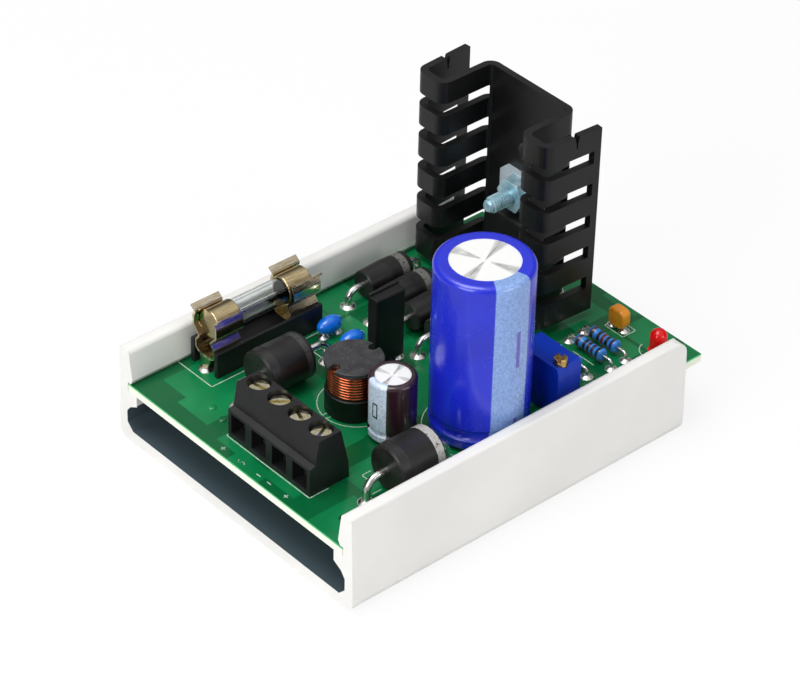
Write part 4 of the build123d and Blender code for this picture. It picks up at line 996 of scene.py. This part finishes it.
for size in ("main", "small"):
    can = f"{size}_capacitor_can"
    paint(spun_aluminium(f"{size}_can_metal", can), "can_aluminium", can)
black_rubber = moulded(
    "black_rubber", screen(34, 33, 33), screen(44, 43, 43),
    smoothest=0.6, roughest=0.75, bump=0.3, grain=3000.0, clouds=300.0,
)
paint(black_rubber, "black_rubber", "main_capacitor_bung", "small_capacitor_bung")

# %% [markdown]
# ## Small parts
# The two blue capacitors and the orange one are dipped in epoxy, which dries glossy. Resistors are
# pale blue lacquer with coloured rings, and the trimmer is a hard blue moulding with a brass screw.

# %% Dipped parts
blue_epoxy = moulded(
    "blue_epoxy", screen(10, 128, 240), screen(8, 108, 222),
    smoothest=0.16, roughest=0.26, bump=0.08, grain=1500.0, clouds=500.0,
    Coat_Weight=0.6, Coat_Roughness=0.06,
)
paint(blue_epoxy, "blue_epoxy", "blue_capacitor_1", "blue_capacitor_2")
orange_epoxy = moulded(
    "orange_epoxy", screen(238, 158, 34), screen(218, 132, 24),
    smoothest=0.24, roughest=0.36, bump=0.12, grain=1500.0, clouds=600.0,
    Coat_Weight=0.25, Coat_Roughness=0.1,
)
paint(orange_epoxy, "orange_epoxy", "orange_capacitor")

# %% Trimmer
trimmer_blue = moulded(
    "trimmer_blue", screen(8, 54, 178), screen(6, 44, 156),
    smoothest=0.3, roughest=0.42, bump=0.15, grain=3500.0, clouds=250.0, IOR=1.4,
)
rounded_copy("trimmer_body", "trimmer_case", trimmer_blue, radius=0.12)
brass = drawn(
    "trimmer_brass", screen(230, 190, 120), screen(176, 128, 66),
    smoothest=0.2, roughest=0.36, streaks=(2500.0, 2500.0, 600.0), bump=0.3,
)
rounded_copy(
    "trimmer_screw", "trimmer_adjuster_screw", brass,
    radius=0.06, body="trimmer_adjuster",
)

# %% Rings on the resistors
ring_half_width = 0.3
ring_colours = {
    "brown": screen(58, 34, 30),
    "black": screen(22, 22, 30),
    "violet": screen(54, 34, 72),
    "red": screen(112, 26, 30),
}
ring_sets = (
    ("red", "violet", "black", "black", "brown"),
    ("brown", "black", "black", "brown", "brown"),
    ("black", "violet", "brown", "black", "brown"),
    ("violet", "black", "red", "black", "brown"),
)
ring_places = (-2.25, -1.05, -0.1, 0.85, 2.25)

# %% Resistors
for node, ring_set in zip(four("resistor"), ring_sets):
    lacquer, tree, shader, colour = start_moulded(
        f"{node}_lacquer", screen(58, 142, 224), screen(42, 120, 208),
        smoothest=0.26, roughest=0.4, bump=0.15, grain=2500.0, clouds=700.0,
        Coat_Weight=0.4, Coat_Roughness=0.1,
    )
    axes = axes_of(tree, object_place(tree))
    for ring_name, ring_place in zip(ring_set, ring_places):
        ring_middle = middle_of(node).y + ring_place * MM
        ring = band(tree, axes["Y"], ring_middle, ring_half_width * MM, softness=0.08 * MM)
        colour = mix_colours(tree, ring, colour, ring_colours[ring_name])
    tree.links.new(colour, shader.inputs["Base Color"])
    paint(lacquer, "resistor_blue", node)

# %% Indicator lamp
red_lens = moulded(
    "red_lens", screen(222, 8, 8), screen(204, 4, 6),
    smoothest=0.08, roughest=0.18, bump=0.05, grain=1500.0, clouds=500.0,
    IOR=1.45, Coat_Weight=0.15, Coat_Roughness=0.05,
)
paint(red_lens, "red_lens", "led_lens")

# %% [markdown]
# ## Heatsink and regulator
# The heatsink is stamped and folded aluminium with a black dye, and the rounded copy lets its cut
# edges shine. The regulator's tab and leads are tinned copper, and its screw and nut have the
# faint blue of clear zinc plate.

# %% Heatsink
black_dye = moulded(
    "black_dye", screen(12, 12, 13), screen(20, 20, 21),
    smoothest=0.28, roughest=0.42, bump=0.15, grain=2600.0, clouds=120.0, IOR=1.48,
)
rounded_copy("heatsink", "folded_heatsink", black_dye, radius=0.14)

# %% Regulator
rounded_copy("regulator_body", "regulator_case", device_epoxy, radius=0.15)
tab_tin = moulded(
    "tab_tin", screen(214, 228, 236), screen(196, 212, 222),
    smoothest=0.38, roughest=0.5, bump=0.1, grain=3000.0, clouds=200.0,
    Metallic=0.45,
)
paint(tab_tin, "tin_solder", "regulator_frame")
zinc = moulded(
    "clear_zinc", screen(204, 234, 244), screen(150, 194, 208),
    smoothest=0.16, roughest=0.3, bump=0.15, grain=2500.0, clouds=500.0,
    Metallic=0.5,
)
rounded_copy("regulator_nut", "fixing_nut", zinc, radius=0.12)

# %% [markdown]
# ## Fixing bolt
# The screw's solid is a plain rod with a head. A copy of it is cut where it leaves the nut, and the
# rod beyond is drawn in to a screw's root. The thread is a small ridge carried round that root
# while it moves along it, which is what a thread is. Inside the nut nobody can see it.

# %% Root of the bolt
neck_length = 0.1
root_share = 0.86
bolt_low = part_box("regulator_screw")[0]
bolt_middle = middle_of("regulator_screw")
nut_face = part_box("regulator_nut")[0].x
bolt = merged_skin("regulator_screw")
for cut_x in (nut_face, nut_face - neck_length * MM):
    everything = [*bolt.verts, *bolt.edges, *bolt.faces]
    bmesh.ops.bisect_plane(bolt, geom=everything, plane_co=(cut_x, 0, 0), plane_no=(1, 0, 0))
beyond = [vertex for vertex in bolt.verts if vertex.co.x < nut_face - neck_length / 2 * MM]
to_axis = Matrix.Translation((0, -bolt_middle.y, -bolt_middle.z))
bmesh.ops.scale(bolt, vec=(1, root_share, root_share), space=to_axis, verts=beyond)
print("bolt past the nut in mm:", round((nut_face - bolt_low.x) / MM, 1))

# %% Thread of the bolt
pitch = 0.5
turn_steps = 24
foot_radius = 1.1
tip_radius = 1.49
turns = int((nut_face - bolt_low.x) / MM / pitch - 1.5)
tooth = []
for back, radius in ((0.1, foot_radius), (0.52, foot_radius), (0.31, tip_radius)):
    spot = (nut_face - back * MM, bolt_middle.y, bolt_middle.z + radius * MM)
    tooth.append(bolt.verts.new(spot))
ridge = bolt.faces.new(tooth)
bmesh.ops.spin(
    bolt, geom=[ridge, *ridge.edges, *tooth], cent=(0, bolt_middle.y, bolt_middle.z),
    axis=(1, 0, 0), dvec=(-pitch / turn_steps * MM, 0, 0), angle=-math.tau * turns,
    steps=turn_steps * turns, use_merge=False, use_duplicate=False,
)
bmesh.ops.recalc_face_normals(bolt, faces=bolt.faces)
bolt_mesh = mesh_from(bolt, "fixing_bolt")
add_piece(bolt_mesh, "fixing_bolt", zinc, stands_for=("regulator_screw",))
print("thread turns:", turns)
